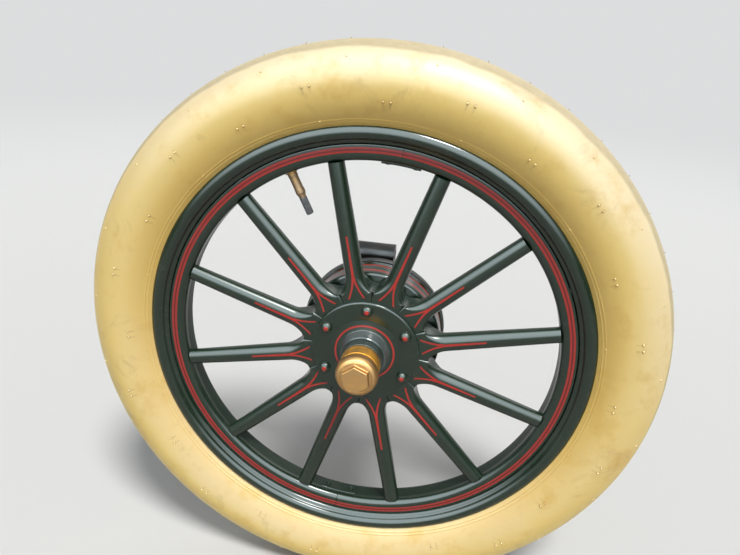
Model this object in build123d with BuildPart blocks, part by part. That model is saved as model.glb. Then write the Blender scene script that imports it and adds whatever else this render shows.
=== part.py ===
from build123d import *
import os
from math import asin, cos, degrees, radians, sin, tan

# A wood-spoked clincher wheel of a 1920s car, with its brake drum, on the end of its rear axle.
# The axle lies along Y, the wheel's outer face looks to -Y, the car's front is at +X and Z is up.
# The origin is on the axle, at the middle of the housing's spigot.
# A station is a distance outwards from the wheel's middle plane, so it is at y = -(WHEEL_OFFSET + station).
# Angles are seen from outside, anticlockwise from +X.

WHEEL_OFFSET = 155.0
RUNNING_GAP = 5.5
SEAT_CLEARANCE = 0.2
SHAFT_CLEARANCE = 0.05

# Tyre
TYRE_DIAMETER = 762.0
TYRE_WIDTH = 89.0
TYRE_HEIGHT = 113.6
TYRE_TOE = 8.0
BEAD_CLEARANCE = 0.8
CROWN_FLAT_COUNT = 8
SIDE_FLAT_COUNT = 2

# Rim
RIM_SEAT_WIDTH = 42.0
RIM_THICKNESS = 2.6
RIM_EDGE_RADIUS = 6.0
RIM_WALL_LENGTH = 7.5
RIM_WALL_ANGLE = 45.0
RIM_HOOK_RADIUS = 10.0
RIM_HOOK_TURN = 95.0
HOOK_FLAT_COUNT = 3

# Felloe
FELLOE_DEPTH = 20.9
FELLOE_FRONT = 23.9
FELLOE_BACK = -13.0
FELLOE_CORNER = 8.0
FELLOE_BACK_CORNER = 10.0
FELLOE_JOINT_GAP = 0.6
SPOKE_COUNT_BEFORE_JOINT = 2
JOINT_PLATE_GAP = 16.6
JOINT_PLATE_LENGTH = 48.0
JOINT_PLATE_WIDTH = 18.0
JOINT_PLATE_STATION = 6.6
JOINT_PLATE_THICKNESS = 2.4
JOINT_RIVET_RADIUS = 4.0
JOINT_RIVET_HEIGHT = 2.2
JOINT_RIVET_SPACING = 34.0

# Spokes
SPOKE_COUNT = 12
FIRST_SPOKE_ANGLE = 12.0
MITRE_CLEARANCE = 0.1
SPOKE_FRONT = 27.0
SPOKE_BACK = -9.0
SPOKE_SHOW = 1.8
SPOKE_CROTCH_LENGTH = 12.0
SPOKE_NECK_LENGTH = 22.0
SPOKE_NECK_WIDTH = 24.0
SPOKE_NECK_DEPTH = 22.0
SPOKE_TIP_WIDTH = 20.5
SPOKE_TIP_DEPTH = 18.0
SPOKE_WEDGE_CORNER = 2.5
SPOKE_CROTCH_CORNER = 6.0
SPOKE_NECK_CORNER = 10.6
SPOKE_TIP_CORNER = 8.8
SPOKE_TIP_GAP = 0.5

# Hub, its plate and their bolts
HUB_BARREL_RADIUS = 26.2
HUB_FLANGE_EDGE = 11.3
HUB_FLANGE_THICKNESS = 6.0
HUB_BOSS_STEP = 2.2
HUB_BOSS_LENGTH = 4.0
HUB_BARREL_END = 60.0
HUB_THREAD_STEP = 3.8
HUB_THREAD_LENGTH = 18.0
HUB_CHAMBER_WALL = 5.4
PLATE_EDGE = 11.5
PLATE_THICKNESS = 5.0
PLATE_CROWN_WIDTH = 16.5
PLATE_CROWN_HEIGHT = 2.4
COLLAR_WALL = 3.1
COLLAR_LENGTH = 16.7
BOLT_COUNT = 6
FIRST_BOLT_ANGLE = 30.0
BOLT_CIRCLE_RADIUS = 58.7
BOLT_RADIUS = 4.76
BOLT_HEAD_RADIUS = 7.5
BOLT_HEAD_HEIGHT = 6.4
BOLT_HEAD_SIDE = 1.4
BOLT_HEAD_TOP_RADIUS = 3.9
NUT_ACROSS_FLATS = 15.9
NUT_THICKNESS = 8.0
BOLT_PROUD = 1.5

# Hub cap
CAP_WALL = 2.6
CAP_SKIRT_LENGTH = 19.0
CAP_GROOVE_WIDTH = 1.6
CAP_GROOVE_DEPTH = 0.9
CAP_FLARE_LENGTH = 3.4
CAP_FLARE = 1.3
CAP_BODY_LENGTH = 9.0
CAP_BORE_LENGTH = 28.0
CAP_SHOULDER = 6.7
CAP_SHOULDER_LENGTH = 5.6
CAP_HEX_HEIGHT = 5.9
CAP_HEX_ACROSS_FLATS = 31.75
CAP_HEX_ANGLE = 37.0

# Brake drum
DRUM_RADIUS = 94.0
DRUM_DEPTH = 34.0
DRUM_FACE_THICKNESS = 3.0
DRUM_WALL = 3.0
DRUM_CORNER = 4.0
DRUM_LIP_HEIGHT = 2.5
DRUM_LIP_WIDTH = 2.5

# Axle shaft
SHAFT_RADIUS = 13.5
SHAFT_TAPER_END = 50.0
SHAFT_TAPER = 2.5
SHAFT_THREAD_RADIUS = 9.5
SHAFT_THREAD_LENGTH = 22.0
SHAFT_DRIVE_RADIUS = 12.7
SHAFT_DRIVE_LENGTH = 22.0
SHAFT_CHAMFER = 1.5

# Valve
VALVE_ANGLE = 116.5
VALVE_RADIUS = 6.2
VALVE_REACH = 30.0
VALVE_TAPER = 5.0
VALVE_NUT_RADIUS = 8.0
VALVE_NUT_THICKNESS = 2.6
VALVE_CAP_RADIUS = 4.8
VALVE_CAP_LENGTH = 24.0

# Axle housing end
SPIGOT_RADIUS = 28.6
SPIGOT_LENGTH = 60.0
SPIGOT_CHAMFER = 1.5
HOUSING_TAPER = 13.0
HOUSING_NOSE_WALL = 8.5
HOUSING_BARREL_STEP = 3.5
HOUSING_FLANGE_EDGE = 13.0
HOUSING_FLANGE_THICKNESS = 10.0
HOUSING_BORE_GAP = 5.5
BEARING_RADIUS = 24.0
BEARING_LENGTH = 46.0
BEARING_RECESS = 2.0

# Backing plate
BACKING_OVERHANG = 3.0
BACKING_THICKNESS = 2.5
BACKING_EDGE = 6.0
BACKING_BOLT_COUNT = 4
BACKING_BOLT_ANGLE = 60.0
BACKING_BOLT_CIRCLE_RADIUS = 47.0
BACKING_BOLT_RADIUS = 4.0
BACKING_HEAD_ACROSS_FLATS = 12.7
BACKING_HEAD_THICKNESS = 5.0

# Spring perch
PERCH_AT = -88.0
PERCH_BOSS_LIFT = 18.0
PERCH_BOSS_WALL = 7.0
PERCH_BOSS_LENGTH = 44.0
PERCH_WEB_WIDTH = 40.0
WEB_ROOT = 1.5
PERCH_SHANK_RADIUS = 8.0
PERCH_LIMB_THICKNESS = 16.0
PERCH_EYE_LIFT = 38.0
PERCH_EYE_WALL = 7.3
PERCH_EYE_BORE_RADIUS = 7.2
PERCH_EYE_REACH = 18.0
PERCH_NUT_ACROSS_FLATS = 24.0
PERCH_NUT_THICKNESS = 12.0
PERCH_SHANK_PROUD = 6.0

# Brake camshaft, lever and stud
CAM_ANGLE = 195.0
CAM_INSET = 28.0
CAM_RADIUS = 8.0
CAM_EAR_WALL = 9.0
CAM_INSIDE = 4.0
CAM_PROUD = 2.0
LEVER_GAP = 5.0
LEVER_THICKNESS = 9.0
LEVER_LENGTH = 100.0
LEVER_ANGLE = 265.0
LEVER_BOSS_WALL = 6.0
LEVER_TIP_WALL = 5.0
STUD_SEAT_RADIUS = 5.6
STUD_RADIUS = 4.8
STUD_LENGTH = 16.0
STUD_HEAD_RADIUS = 8.0
STUD_HEAD_THICKNESS = 4.0

# Grease cup
CUP_AT = -90.0
CUP_ANGLE = 15.0
CUP_STEM_RADIUS = 5.0
CUP_STEM_LENGTH = 6.0
CUP_PAD_WALL = 5.0
CUP_PAD_HEIGHT = 1.5
CUP_HEX_ACROSS_FLATS = 14.0
CUP_HEX_THICKNESS = 6.0
CUP_CAP_RADIUS = 10.0
CUP_CAP_HEIGHT = 14.0

# Stations and radii that follow from the sizes above
RIM_SEAT_RADIUS = TYRE_DIAMETER / 2 - TYRE_HEIGHT
FELLOE_INNER_RADIUS = RIM_SEAT_RADIUS - FELLOE_DEPTH
HUB_OUTSIDE = HUB_BARREL_RADIUS + SEAT_CLEARANCE
HUB_FLANGE_RADIUS = BOLT_CIRCLE_RADIUS + HUB_FLANGE_EDGE
HUB_BOSS_RADIUS = HUB_BARREL_RADIUS - HUB_BOSS_STEP
HUB_THREAD_RADIUS = HUB_BARREL_RADIUS - HUB_THREAD_STEP
HUB_THREAD_END = HUB_BARREL_END + HUB_THREAD_LENGTH
PLATE_RADIUS = BOLT_CIRCLE_RADIUS + PLATE_EDGE
COLLAR_RADIUS = HUB_OUTSIDE + COLLAR_WALL
BACKING_RADIUS = DRUM_RADIUS + BACKING_OVERHANG
HOUSING_NOSE_RADIUS = BEARING_RADIUS + HOUSING_NOSE_WALL
HOUSING_BARREL_RADIUS = HOUSING_NOSE_RADIUS + HOUSING_BARREL_STEP
HOUSING_BORE_RADIUS = SHAFT_RADIUS + HOUSING_BORE_GAP
HOUSING_FLANGE_RADIUS = BACKING_BOLT_CIRCLE_RADIUS + HOUSING_FLANGE_EDGE
WEB_ROOT_RADIUS = BEARING_RADIUS + WEB_ROOT
PERCH_BOSS_HEIGHT = HOUSING_BARREL_RADIUS + PERCH_BOSS_LIFT
PERCH_EYE_HEIGHT = PERCH_BOSS_HEIGHT + PERCH_EYE_LIFT
PLATE_FRONT = SPOKE_FRONT + PLATE_THICKNESS
DRUM_REAR = SPOKE_BACK - DRUM_DEPTH
HUB_FLANGE_FRONT = SPOKE_BACK - DRUM_FACE_THICKNESS
HUB_FLANGE_REAR = HUB_FLANGE_FRONT - HUB_FLANGE_THICKNESS
HUB_REAR = HUB_FLANGE_REAR - HUB_BOSS_LENGTH
NOSE_FRONT = HUB_REAR - RUNNING_GAP
BACKING_FRONT = DRUM_REAR - RUNNING_GAP
BACKING_REAR = BACKING_FRONT - BACKING_THICKNESS
HOUSING_FLANGE_REAR = BACKING_REAR - HOUSING_FLANGE_THICKNESS
SPIGOT_START = -WHEEL_OFFSET + SPIGOT_LENGTH / 2
SPIGOT_END = -WHEEL_OFFSET - SPIGOT_LENGTH / 2
SPOKE_PITCH = 360.0 / SPOKE_COUNT
JOINT_SPOKE_ANGLE = FIRST_SPOKE_ANGLE + SPOKE_COUNT_BEFORE_JOINT * SPOKE_PITCH
JOINT_REACH = SPOKE_TIP_WIDTH / 2 + JOINT_PLATE_GAP + JOINT_PLATE_LENGTH / 2
FELLOE_JOINT_ANGLE = JOINT_SPOKE_ANGLE + degrees(JOINT_REACH / FELLOE_INNER_RADIUS)
BOLT_HOLE_RADIUS = BOLT_RADIUS + SEAT_CLEARANCE
SIDEWALL_RADIUS = TYRE_WIDTH / 2
SECTION_CENTRE = TYRE_DIAMETER / 2 - SIDEWALL_RADIUS

os.makedirs("parts", exist_ok=True)

# Profiles that are turned about the axle are drawn here as (radius, station).
TURNING = Plane(origin=(0, -WHEEL_OFFSET, 0), x_dir=(1, 0, 0), z_dir=(0, 0, -1))


def facing(station):
    """The plane across the axle at a station, seen from outside."""
    return Plane.XZ.offset(WHEEL_OFFSET + station)


def polar(radius, angle):
    """A point across the axle, from its radius and angle."""
    return (radius * cos(radians(angle)), radius * sin(radians(angle)))


def radial_plane(radius, angle, station):
    """The plane that a spoke or valve crosses: its x runs round the wheel and its y runs outwards."""
    x, z = polar(radius, angle)
    outwards = (cos(radians(angle)), 0, sin(radians(angle)))
    around = (-sin(radians(angle)), 0, cos(radians(angle)))
    return Plane(origin=(x, -(WHEEL_OFFSET + station), z), x_dir=around, z_dir=outwards)


def turning_plane(angle):
    """The turned profiles' plane, with its radius at an angle."""
    along = (cos(radians(angle)), 0, sin(radians(angle)))
    across = (sin(radians(angle)), 0, -cos(radians(angle)))
    return Plane(origin=(0, -WHEEL_OFFSET, 0), x_dir=along, z_dir=across)


def spoke_plane(angle, station):
    """The plane across the axle at a station, with its x along a spoke."""
    along = (cos(radians(angle)), 0, sin(radians(angle)))
    return Plane(origin=(0, -(WHEEL_OFFSET + station), 0), x_dir=along, z_dir=(0, -1, 0))


def round_corner(centre, radius, start, end, flats):
    """Points along an arc in a turned profile, one more than its flats."""
    steps = [start + (end - start) * i / flats for i in range(flats + 1)]
    return [(centre[0] + radius * cos(radians(a)), centre[1] + radius * sin(radians(a))) for a in steps]


def both_sides(outer, inner, middle=()):
    """A closed profile from the outer and inner lines of its outboard half, each drawn from the middle."""
    mirrored = [(r, -s) for r, s in reversed(outer)]
    return mirrored + list(middle) + outer + inner[::-1] + [(r, -s) for r, s in inner]


def across_corners(across_flats):
    """The radius to a hexagon's corners."""
    return across_flats / 2 / cos(radians(30))


def rim_side(inset, flats):
    """The rim's outboard side from its seat to its lip, inset by a thickness."""
    turn = 180.0 - RIM_WALL_ANGLE
    edge_centre = (RIM_SEAT_RADIUS + RIM_EDGE_RADIUS, RIM_SEAT_WIDTH / 2)
    edge = round_corner(edge_centre, RIM_EDGE_RADIUS - inset, 180.0, turn, 1)
    run = radians(90.0 - RIM_WALL_ANGLE)
    top_radius = edge_centre[0] - RIM_EDGE_RADIUS * cos(radians(RIM_WALL_ANGLE)) + RIM_WALL_LENGTH * sin(run)
    top_station = edge_centre[1] + RIM_EDGE_RADIUS * sin(radians(RIM_WALL_ANGLE)) + RIM_WALL_LENGTH * cos(run)
    hook_centre = (
        top_radius + RIM_HOOK_RADIUS * cos(radians(RIM_WALL_ANGLE)),
        top_station - RIM_HOOK_RADIUS * sin(radians(RIM_WALL_ANGLE)),
    )
    return edge + round_corner(hook_centre, RIM_HOOK_RADIUS - inset, turn, turn - RIM_HOOK_TURN, flats)


# The rim is a rolled channel whose edges hook over the tyre's beads.
with BuildPart() as rim:
    with BuildSketch(TURNING):
        with BuildLine():
            Polyline(*both_sides(rim_side(0.0, HOOK_FLAT_COUNT), rim_side(RIM_THICKNESS, 1)), close=True)
        make_face()
    revolve(axis=Axis.Y)
    with BuildSketch(radial_plane(0, VALVE_ANGLE, 0)):
        Circle(VALVE_RADIUS + SEAT_CLEARANCE)
    extrude(amount=TYRE_DIAMETER / 2, mode=Mode.SUBTRACT)
rim.part.label = "rim"
export_step(rim.part, "parts/rim.step")

# The tyre is round above the rim, and each sidewall runs down in one wide arc to its bead.
# It is one solid with its inner tube.
bead = rim_side(RIM_THICKNESS + BEAD_CLEARANCE, 1)
neck_radius, neck_station = bead[-1]
sidewall_drop = SECTION_CENTRE - neck_radius
sidewall_inset = SIDEWALL_RADIUS - neck_station
sidewall_arc = (sidewall_drop**2 + sidewall_inset**2) / (2 * sidewall_inset)
sidewall_turn = degrees(asin(sidewall_drop / sidewall_arc))
sidewall_centre = (SECTION_CENTRE, SIDEWALL_RADIUS - sidewall_arc)
tread = round_corner((SECTION_CENTRE, 0), SIDEWALL_RADIUS, 0.0, 90.0, CROWN_FLAT_COUNT // 2)
sidewall = round_corner(sidewall_centre, sidewall_arc, 90.0, 90.0 + sidewall_turn, SIDE_FLAT_COUNT)
toe = (bead[0][0], bead[0][1] - TYRE_TOE)
tyre_side = tread[1:] + sidewall[1:] + [bead[2], bead[0], toe]
with BuildPart() as tyre:
    with BuildSketch(TURNING):
        with BuildLine():
            Polyline(*both_sides(tyre_side, [], tread[:1]), close=True)
        make_face()
    revolve(axis=Axis.Y)
tyre.part.label = "tyre"
export_step(tyre.part, "parts/tyre.step")

# The felloe is bent in two halves, with its inner edges rounded. The valve passes through the rear half.
felloe_outer = RIM_SEAT_RADIUS - SEAT_CLEARANCE
corner_centre = (FELLOE_INNER_RADIUS + FELLOE_CORNER, FELLOE_FRONT - FELLOE_CORNER)
back_corner_centre = (FELLOE_INNER_RADIUS + FELLOE_BACK_CORNER, FELLOE_BACK + FELLOE_BACK_CORNER)
felloe_profile = [
    (felloe_outer, FELLOE_BACK),
    *round_corner(back_corner_centre, FELLOE_BACK_CORNER, 270.0, 180.0, 2),
    *round_corner(corner_centre, FELLOE_CORNER, 180.0, 90.0, 2),
    (felloe_outer, FELLOE_FRONT),
]
joint_gap_angle = degrees(FELLOE_JOINT_GAP / FELLOE_INNER_RADIUS)
for name, end_angle in (("felloe_rear", FELLOE_JOINT_ANGLE + 180.0), ("felloe_front", FELLOE_JOINT_ANGLE)):
    with BuildPart() as felloe:
        with BuildSketch(turning_plane(end_angle - joint_gap_angle / 2)):
            with BuildLine():
                Polyline(*felloe_profile, close=True)
            make_face()
        revolve(axis=Axis.Y, revolution_arc=180.0 - joint_gap_angle)
        with BuildSketch(radial_plane(0, VALVE_ANGLE, 0)):
            Circle(VALVE_RADIUS + SEAT_CLEARANCE)
        extrude(amount=TYRE_DIAMETER / 2, mode=Mode.SUBTRACT)
    felloe.part.label = name
    export_step(felloe.part, f"parts/{name}.step")

# A steel plate with two rivets bridges each joint, on the felloe's inner face.
joint_plate_outer = FELLOE_INNER_RADIUS - SEAT_CLEARANCE
joint_plate_inner = joint_plate_outer - JOINT_PLATE_THICKNESS
rivet_top = joint_plate_inner - JOINT_RIVET_HEIGHT
joint_plate_angle = degrees(JOINT_PLATE_LENGTH / joint_plate_outer)
rivet_angle = degrees(JOINT_RIVET_SPACING / joint_plate_outer)
with BuildPart() as felloe_plates:
    for joint in (FELLOE_JOINT_ANGLE, FELLOE_JOINT_ANGLE + 180.0):
        with BuildSketch(turning_plane(joint + joint_plate_angle / 2)):
            with Locations(((joint_plate_outer + joint_plate_inner) / 2, JOINT_PLATE_STATION)):
                Rectangle(JOINT_PLATE_THICKNESS, JOINT_PLATE_WIDTH)
        revolve(axis=Axis.Y, revolution_arc=joint_plate_angle)
        for rivet in (joint - rivet_angle / 2, joint + rivet_angle / 2):
            with BuildSketch(radial_plane(rivet_top, rivet, JOINT_PLATE_STATION)):
                Circle(JOINT_RIVET_RADIUS)
            extrude(amount=JOINT_RIVET_HEIGHT + JOINT_PLATE_THICKNESS / 2)
felloe_plates.part.label = "felloe_plates"
export_step(felloe_plates.part, "parts/felloe_plates.step")

# Each spoke is a mitred wedge under the hub plate, then a rounded throat, then an oval shaft.
# Neighbours touch along their mitres as far as the crotch.
hub_depth = SPOKE_FRONT - SPOKE_BACK
hub_middle = (SPOKE_FRONT + SPOKE_BACK) / 2
mitre_slope = tan(radians(SPOKE_PITCH / 2))
mitre_trim = MITRE_CLEARANCE / cos(radians(SPOKE_PITCH / 2))
root_at = HUB_OUTSIDE * cos(radians(SPOKE_PITCH / 2))
root_half = root_at * mitre_slope - mitre_trim
wedge_end = PLATE_RADIUS + SPOKE_SHOW
wedge_half = wedge_end * mitre_slope - mitre_trim
crotch_at = wedge_end + SPOKE_CROTCH_LENGTH
crotch_half = crotch_at * mitre_slope - mitre_trim
neck_at = crotch_at + SPOKE_NECK_LENGTH
neck_middle = SPOKE_FRONT - SPOKE_NECK_DEPTH / 2
tip_at = FELLOE_INNER_RADIUS - SPOKE_TIP_GAP
tip_middle = FELLOE_FRONT - SPOKE_TIP_DEPTH / 2
# Columns: distance from the axle, width, depth, station of the middle, corner radius.
SPOKE_SECTIONS = (
    (wedge_end, 2 * wedge_half, hub_depth, hub_middle, SPOKE_WEDGE_CORNER),
    (crotch_at, 2 * crotch_half, hub_depth, hub_middle, SPOKE_CROTCH_CORNER),
    (neck_at, SPOKE_NECK_WIDTH, SPOKE_NECK_DEPTH, neck_middle, SPOKE_NECK_CORNER),
    (tip_at, SPOKE_TIP_WIDTH, SPOKE_TIP_DEPTH, tip_middle, SPOKE_TIP_CORNER),
)
for number in range(SPOKE_COUNT):
    angle = FIRST_SPOKE_ANGLE + number * SPOKE_PITCH
    name = f"spoke_{number + 1:02d}"
    with BuildPart() as spoke:
        with BuildSketch(spoke_plane(angle, SPOKE_BACK)):
            with BuildLine():
                ThreePointArc((root_at, root_half), (HUB_OUTSIDE, 0), (root_at, -root_half))
                Polyline(
                    (root_at, -root_half),
                    (wedge_end, -wedge_half),
                    (wedge_end, wedge_half),
                    (root_at, root_half),
                )
            make_face()
        extrude(amount=hub_depth)
        for distance, width, depth, middle, corner in SPOKE_SECTIONS:
            with BuildSketch(radial_plane(distance, angle, middle)):
                RectangleRounded(width, depth, corner)
        loft(ruled=True)
        with BuildSketch(facing(SPOKE_BACK)):
            with PolarLocations(BOLT_CIRCLE_RADIUS, BOLT_COUNT, start_angle=FIRST_BOLT_ANGLE):
                Circle(BOLT_HOLE_RADIUS)
        extrude(amount=hub_depth, mode=Mode.SUBTRACT)
    spoke.part.label = name
    export_step(spoke.part, f"parts/{name}.step")

# The hub's barrel runs through the wheel, with a flange behind the drum and a taper for the axle shaft.
with BuildPart() as hub:
    with BuildSketch(TURNING):
        with BuildLine():
            Polyline(
                (SHAFT_RADIUS + SEAT_CLEARANCE, HUB_REAR),
                (HUB_BOSS_RADIUS, HUB_REAR),
                (HUB_BOSS_RADIUS, HUB_FLANGE_REAR),
                (HUB_FLANGE_RADIUS, HUB_FLANGE_REAR),
                (HUB_FLANGE_RADIUS, HUB_FLANGE_FRONT),
                (HUB_BARREL_RADIUS, HUB_FLANGE_FRONT),
                (HUB_BARREL_RADIUS, HUB_BARREL_END),
                (HUB_THREAD_RADIUS, HUB_BARREL_END),
                (HUB_THREAD_RADIUS, HUB_THREAD_END),
                (HUB_THREAD_RADIUS - HUB_CHAMBER_WALL, HUB_THREAD_END),
                (HUB_THREAD_RADIUS - HUB_CHAMBER_WALL, SHAFT_TAPER_END),
                (SHAFT_RADIUS - SHAFT_TAPER + SEAT_CLEARANCE, SHAFT_TAPER_END),
                close=True,
            )
        make_face()
    revolve(axis=Axis.Y)
    with BuildSketch(facing(HUB_FLANGE_REAR)):
        with PolarLocations(BOLT_CIRCLE_RADIUS, BOLT_COUNT, start_angle=FIRST_BOLT_ANGLE):
            Circle(BOLT_HOLE_RADIUS)
    extrude(amount=HUB_FLANGE_THICKNESS, mode=Mode.SUBTRACT)
hub.part.label = "hub"
export_step(hub.part, "parts/hub.step")

# The hub plate clamps the spokes from outside. It crowns a little towards its collar.
with BuildPart() as hub_plate:
    with BuildSketch(TURNING):
        with BuildLine():
            Polyline(
                (HUB_OUTSIDE, SPOKE_FRONT),
                (PLATE_RADIUS, SPOKE_FRONT),
                (PLATE_RADIUS, PLATE_FRONT),
                (COLLAR_RADIUS + PLATE_CROWN_WIDTH, PLATE_FRONT),
                (COLLAR_RADIUS, PLATE_FRONT + PLATE_CROWN_HEIGHT),
                (COLLAR_RADIUS, PLATE_FRONT + COLLAR_LENGTH),
                (HUB_OUTSIDE, PLATE_FRONT + COLLAR_LENGTH),
                close=True,
            )
        make_face()
    revolve(axis=Axis.Y)
    with BuildSketch(facing(SPOKE_FRONT)):
        with PolarLocations(BOLT_CIRCLE_RADIUS, BOLT_COUNT, start_angle=FIRST_BOLT_ANGLE):
            Circle(BOLT_HOLE_RADIUS)
    extrude(amount=PLATE_THICKNESS, mode=Mode.SUBTRACT)
hub_plate.part.label = "hub_plate"
export_step(hub_plate.part, "parts/hub_plate.step")

# The brake drum is a pressed cup bolted between the spokes and the hub's flange.
drum_corner_centre = (DRUM_RADIUS - DRUM_CORNER, SPOKE_BACK - DRUM_CORNER)
drum_corner = round_corner(drum_corner_centre, DRUM_CORNER, 90.0, 0.0, 2)
with BuildPart() as brake_drum:
    with BuildSketch(TURNING):
        with BuildLine():
            Polyline(
                (HUB_OUTSIDE, SPOKE_BACK),
                *drum_corner,
                (DRUM_RADIUS, DRUM_REAR + DRUM_LIP_WIDTH),
                (DRUM_RADIUS + DRUM_LIP_HEIGHT, DRUM_REAR + DRUM_LIP_WIDTH),
                (DRUM_RADIUS + DRUM_LIP_HEIGHT, DRUM_REAR),
                (DRUM_RADIUS - DRUM_WALL, DRUM_REAR),
                (DRUM_RADIUS - DRUM_WALL, HUB_FLANGE_FRONT),
                (HUB_OUTSIDE, HUB_FLANGE_FRONT),
                close=True,
            )
        make_face()
    revolve(axis=Axis.Y)
    with BuildSketch(facing(HUB_FLANGE_FRONT)):
        with PolarLocations(BOLT_CIRCLE_RADIUS, BOLT_COUNT, start_angle=FIRST_BOLT_ANGLE):
            Circle(BOLT_HOLE_RADIUS)
    extrude(amount=DRUM_FACE_THICKNESS, mode=Mode.SUBTRACT)
brake_drum.part.label = "brake_drum"
export_step(brake_drum.part, "parts/brake_drum.step")

# Six domed bolts pass through plate, spokes, drum and flange.
bolt_end = HUB_FLANGE_REAR - NUT_THICKNESS - BOLT_PROUD
with BuildPart() as hub_bolts:
    for bolt in range(BOLT_COUNT):
        centre = polar(BOLT_CIRCLE_RADIUS, FIRST_BOLT_ANGLE + bolt * 360.0 / BOLT_COUNT)
        with BuildSketch(TURNING.offset(-centre[1])):
            with BuildLine():
                Polyline(
                    (centre[0], bolt_end),
                    (centre[0] + BOLT_RADIUS, bolt_end),
                    (centre[0] + BOLT_RADIUS, PLATE_FRONT),
                    (centre[0] + BOLT_HEAD_RADIUS, PLATE_FRONT),
                    (centre[0] + BOLT_HEAD_RADIUS, PLATE_FRONT + BOLT_HEAD_SIDE),
                    (centre[0] + BOLT_HEAD_TOP_RADIUS, PLATE_FRONT + BOLT_HEAD_HEIGHT),
                    (centre[0], PLATE_FRONT + BOLT_HEAD_HEIGHT),
                    close=True,
                )
            make_face()
        revolve(axis=Axis((centre[0], 0, centre[1]), (0, 1, 0)))
hub_bolts.part.label = "hub_bolts"
export_step(hub_bolts.part, "parts/hub_bolts.step")

with BuildPart() as hub_nuts:
    with BuildSketch(facing(HUB_FLANGE_REAR - NUT_THICKNESS)):
        with PolarLocations(BOLT_CIRCLE_RADIUS, BOLT_COUNT, start_angle=FIRST_BOLT_ANGLE):
            RegularPolygon(across_corners(NUT_ACROSS_FLATS), 6)
            Circle(BOLT_RADIUS + SHAFT_CLEARANCE, mode=Mode.SUBTRACT)
    extrude(amount=NUT_THICKNESS)
hub_nuts.part.label = "hub_nuts"
export_step(hub_nuts.part, "parts/hub_nuts.step")

# The brass hub cap screws over the hub's end, and its crown carries a hexagon for the wrench.
cap_bore = HUB_THREAD_RADIUS + SEAT_CLEARANCE
skirt = cap_bore + CAP_WALL
groove_at = HUB_BARREL_END + CAP_SKIRT_LENGTH
body_at = groove_at + CAP_GROOVE_WIDTH + CAP_FLARE_LENGTH
body_end = body_at + CAP_BODY_LENGTH
body = skirt + CAP_FLARE
with BuildPart() as hub_cap:
    with BuildSketch(TURNING):
        with BuildLine():
            Polyline(
                (cap_bore, HUB_BARREL_END),
                (skirt, HUB_BARREL_END),
                (skirt, groove_at),
                (skirt - CAP_GROOVE_DEPTH, groove_at + CAP_GROOVE_WIDTH / 2),
                (skirt, groove_at + CAP_GROOVE_WIDTH),
                (body, body_at),
                (body, body_end),
                (body - CAP_SHOULDER / 3, body_end + CAP_SHOULDER_LENGTH * 2 / 3),
                (body - CAP_SHOULDER, body_end + CAP_SHOULDER_LENGTH),
                (0, body_end + CAP_SHOULDER_LENGTH),
                (0, HUB_BARREL_END + CAP_BORE_LENGTH),
                (cap_bore, HUB_BARREL_END + CAP_BORE_LENGTH),
                close=True,
            )
        make_face()
    revolve(axis=Axis.Y)
    with BuildSketch(facing(body_end + CAP_SHOULDER_LENGTH)):
        RegularPolygon(across_corners(CAP_HEX_ACROSS_FLATS), 6, rotation=CAP_HEX_ANGLE)
    extrude(amount=CAP_HEX_HEIGHT)
hub_cap.part.label = "hub_cap"
export_step(hub_cap.part, "parts/hub_cap.step")

# The axle shaft is tapered into the hub and runs inwards to a turned-down driving end.
drive_end = SPIGOT_END - SHAFT_DRIVE_LENGTH
with BuildPart() as axle_shaft:
    with BuildSketch(TURNING):
        with BuildLine():
            Polyline(
                (0, SHAFT_TAPER_END + SHAFT_THREAD_LENGTH),
                (SHAFT_THREAD_RADIUS, SHAFT_TAPER_END + SHAFT_THREAD_LENGTH),
                (SHAFT_THREAD_RADIUS, SHAFT_TAPER_END),
                (SHAFT_RADIUS - SHAFT_TAPER, SHAFT_TAPER_END),
                (SHAFT_RADIUS, HUB_REAR),
                (SHAFT_RADIUS, SPIGOT_END),
                (SHAFT_DRIVE_RADIUS, SPIGOT_END),
                (SHAFT_DRIVE_RADIUS, drive_end + SHAFT_CHAMFER),
                (SHAFT_DRIVE_RADIUS - SHAFT_CHAMFER, drive_end),
                (0, drive_end),
                close=True,
            )
        make_face()
    revolve(axis=Axis.Y)
axle_shaft.part.label = "axle_shaft"
export_step(axle_shaft.part, "parts/axle_shaft.step")

# The valve stands through the rim and the felloe, with a flat nut, a tapered end and a dust cap.
valve_inner = FELLOE_INNER_RADIUS - VALVE_REACH
with BuildPart() as valve_stem:
    with BuildSketch(radial_plane(valve_inner, VALVE_ANGLE, 0)):
        Circle(VALVE_RADIUS)
    extrude(amount=RIM_SEAT_RADIUS + RIM_THICKNESS - valve_inner)
    with BuildSketch(radial_plane(valve_inner, VALVE_ANGLE, 0)):
        Circle(VALVE_RADIUS)
    with BuildSketch(radial_plane(valve_inner - VALVE_TAPER, VALVE_ANGLE, 0)):
        Circle(VALVE_CAP_RADIUS - SEAT_CLEARANCE)
    loft(ruled=True)
valve_stem.part.label = "valve_stem"
export_step(valve_stem.part, "parts/valve_stem.step")

with BuildPart() as valve_nut:
    with BuildSketch(radial_plane(FELLOE_INNER_RADIUS - SPOKE_TIP_GAP - VALVE_NUT_THICKNESS, VALVE_ANGLE, 0)):
        Circle(VALVE_NUT_RADIUS)
        Circle(VALVE_RADIUS + SHAFT_CLEARANCE, mode=Mode.SUBTRACT)
    extrude(amount=VALVE_NUT_THICKNESS)
valve_nut.part.label = "valve_nut"
export_step(valve_nut.part, "parts/valve_nut.step")

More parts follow.
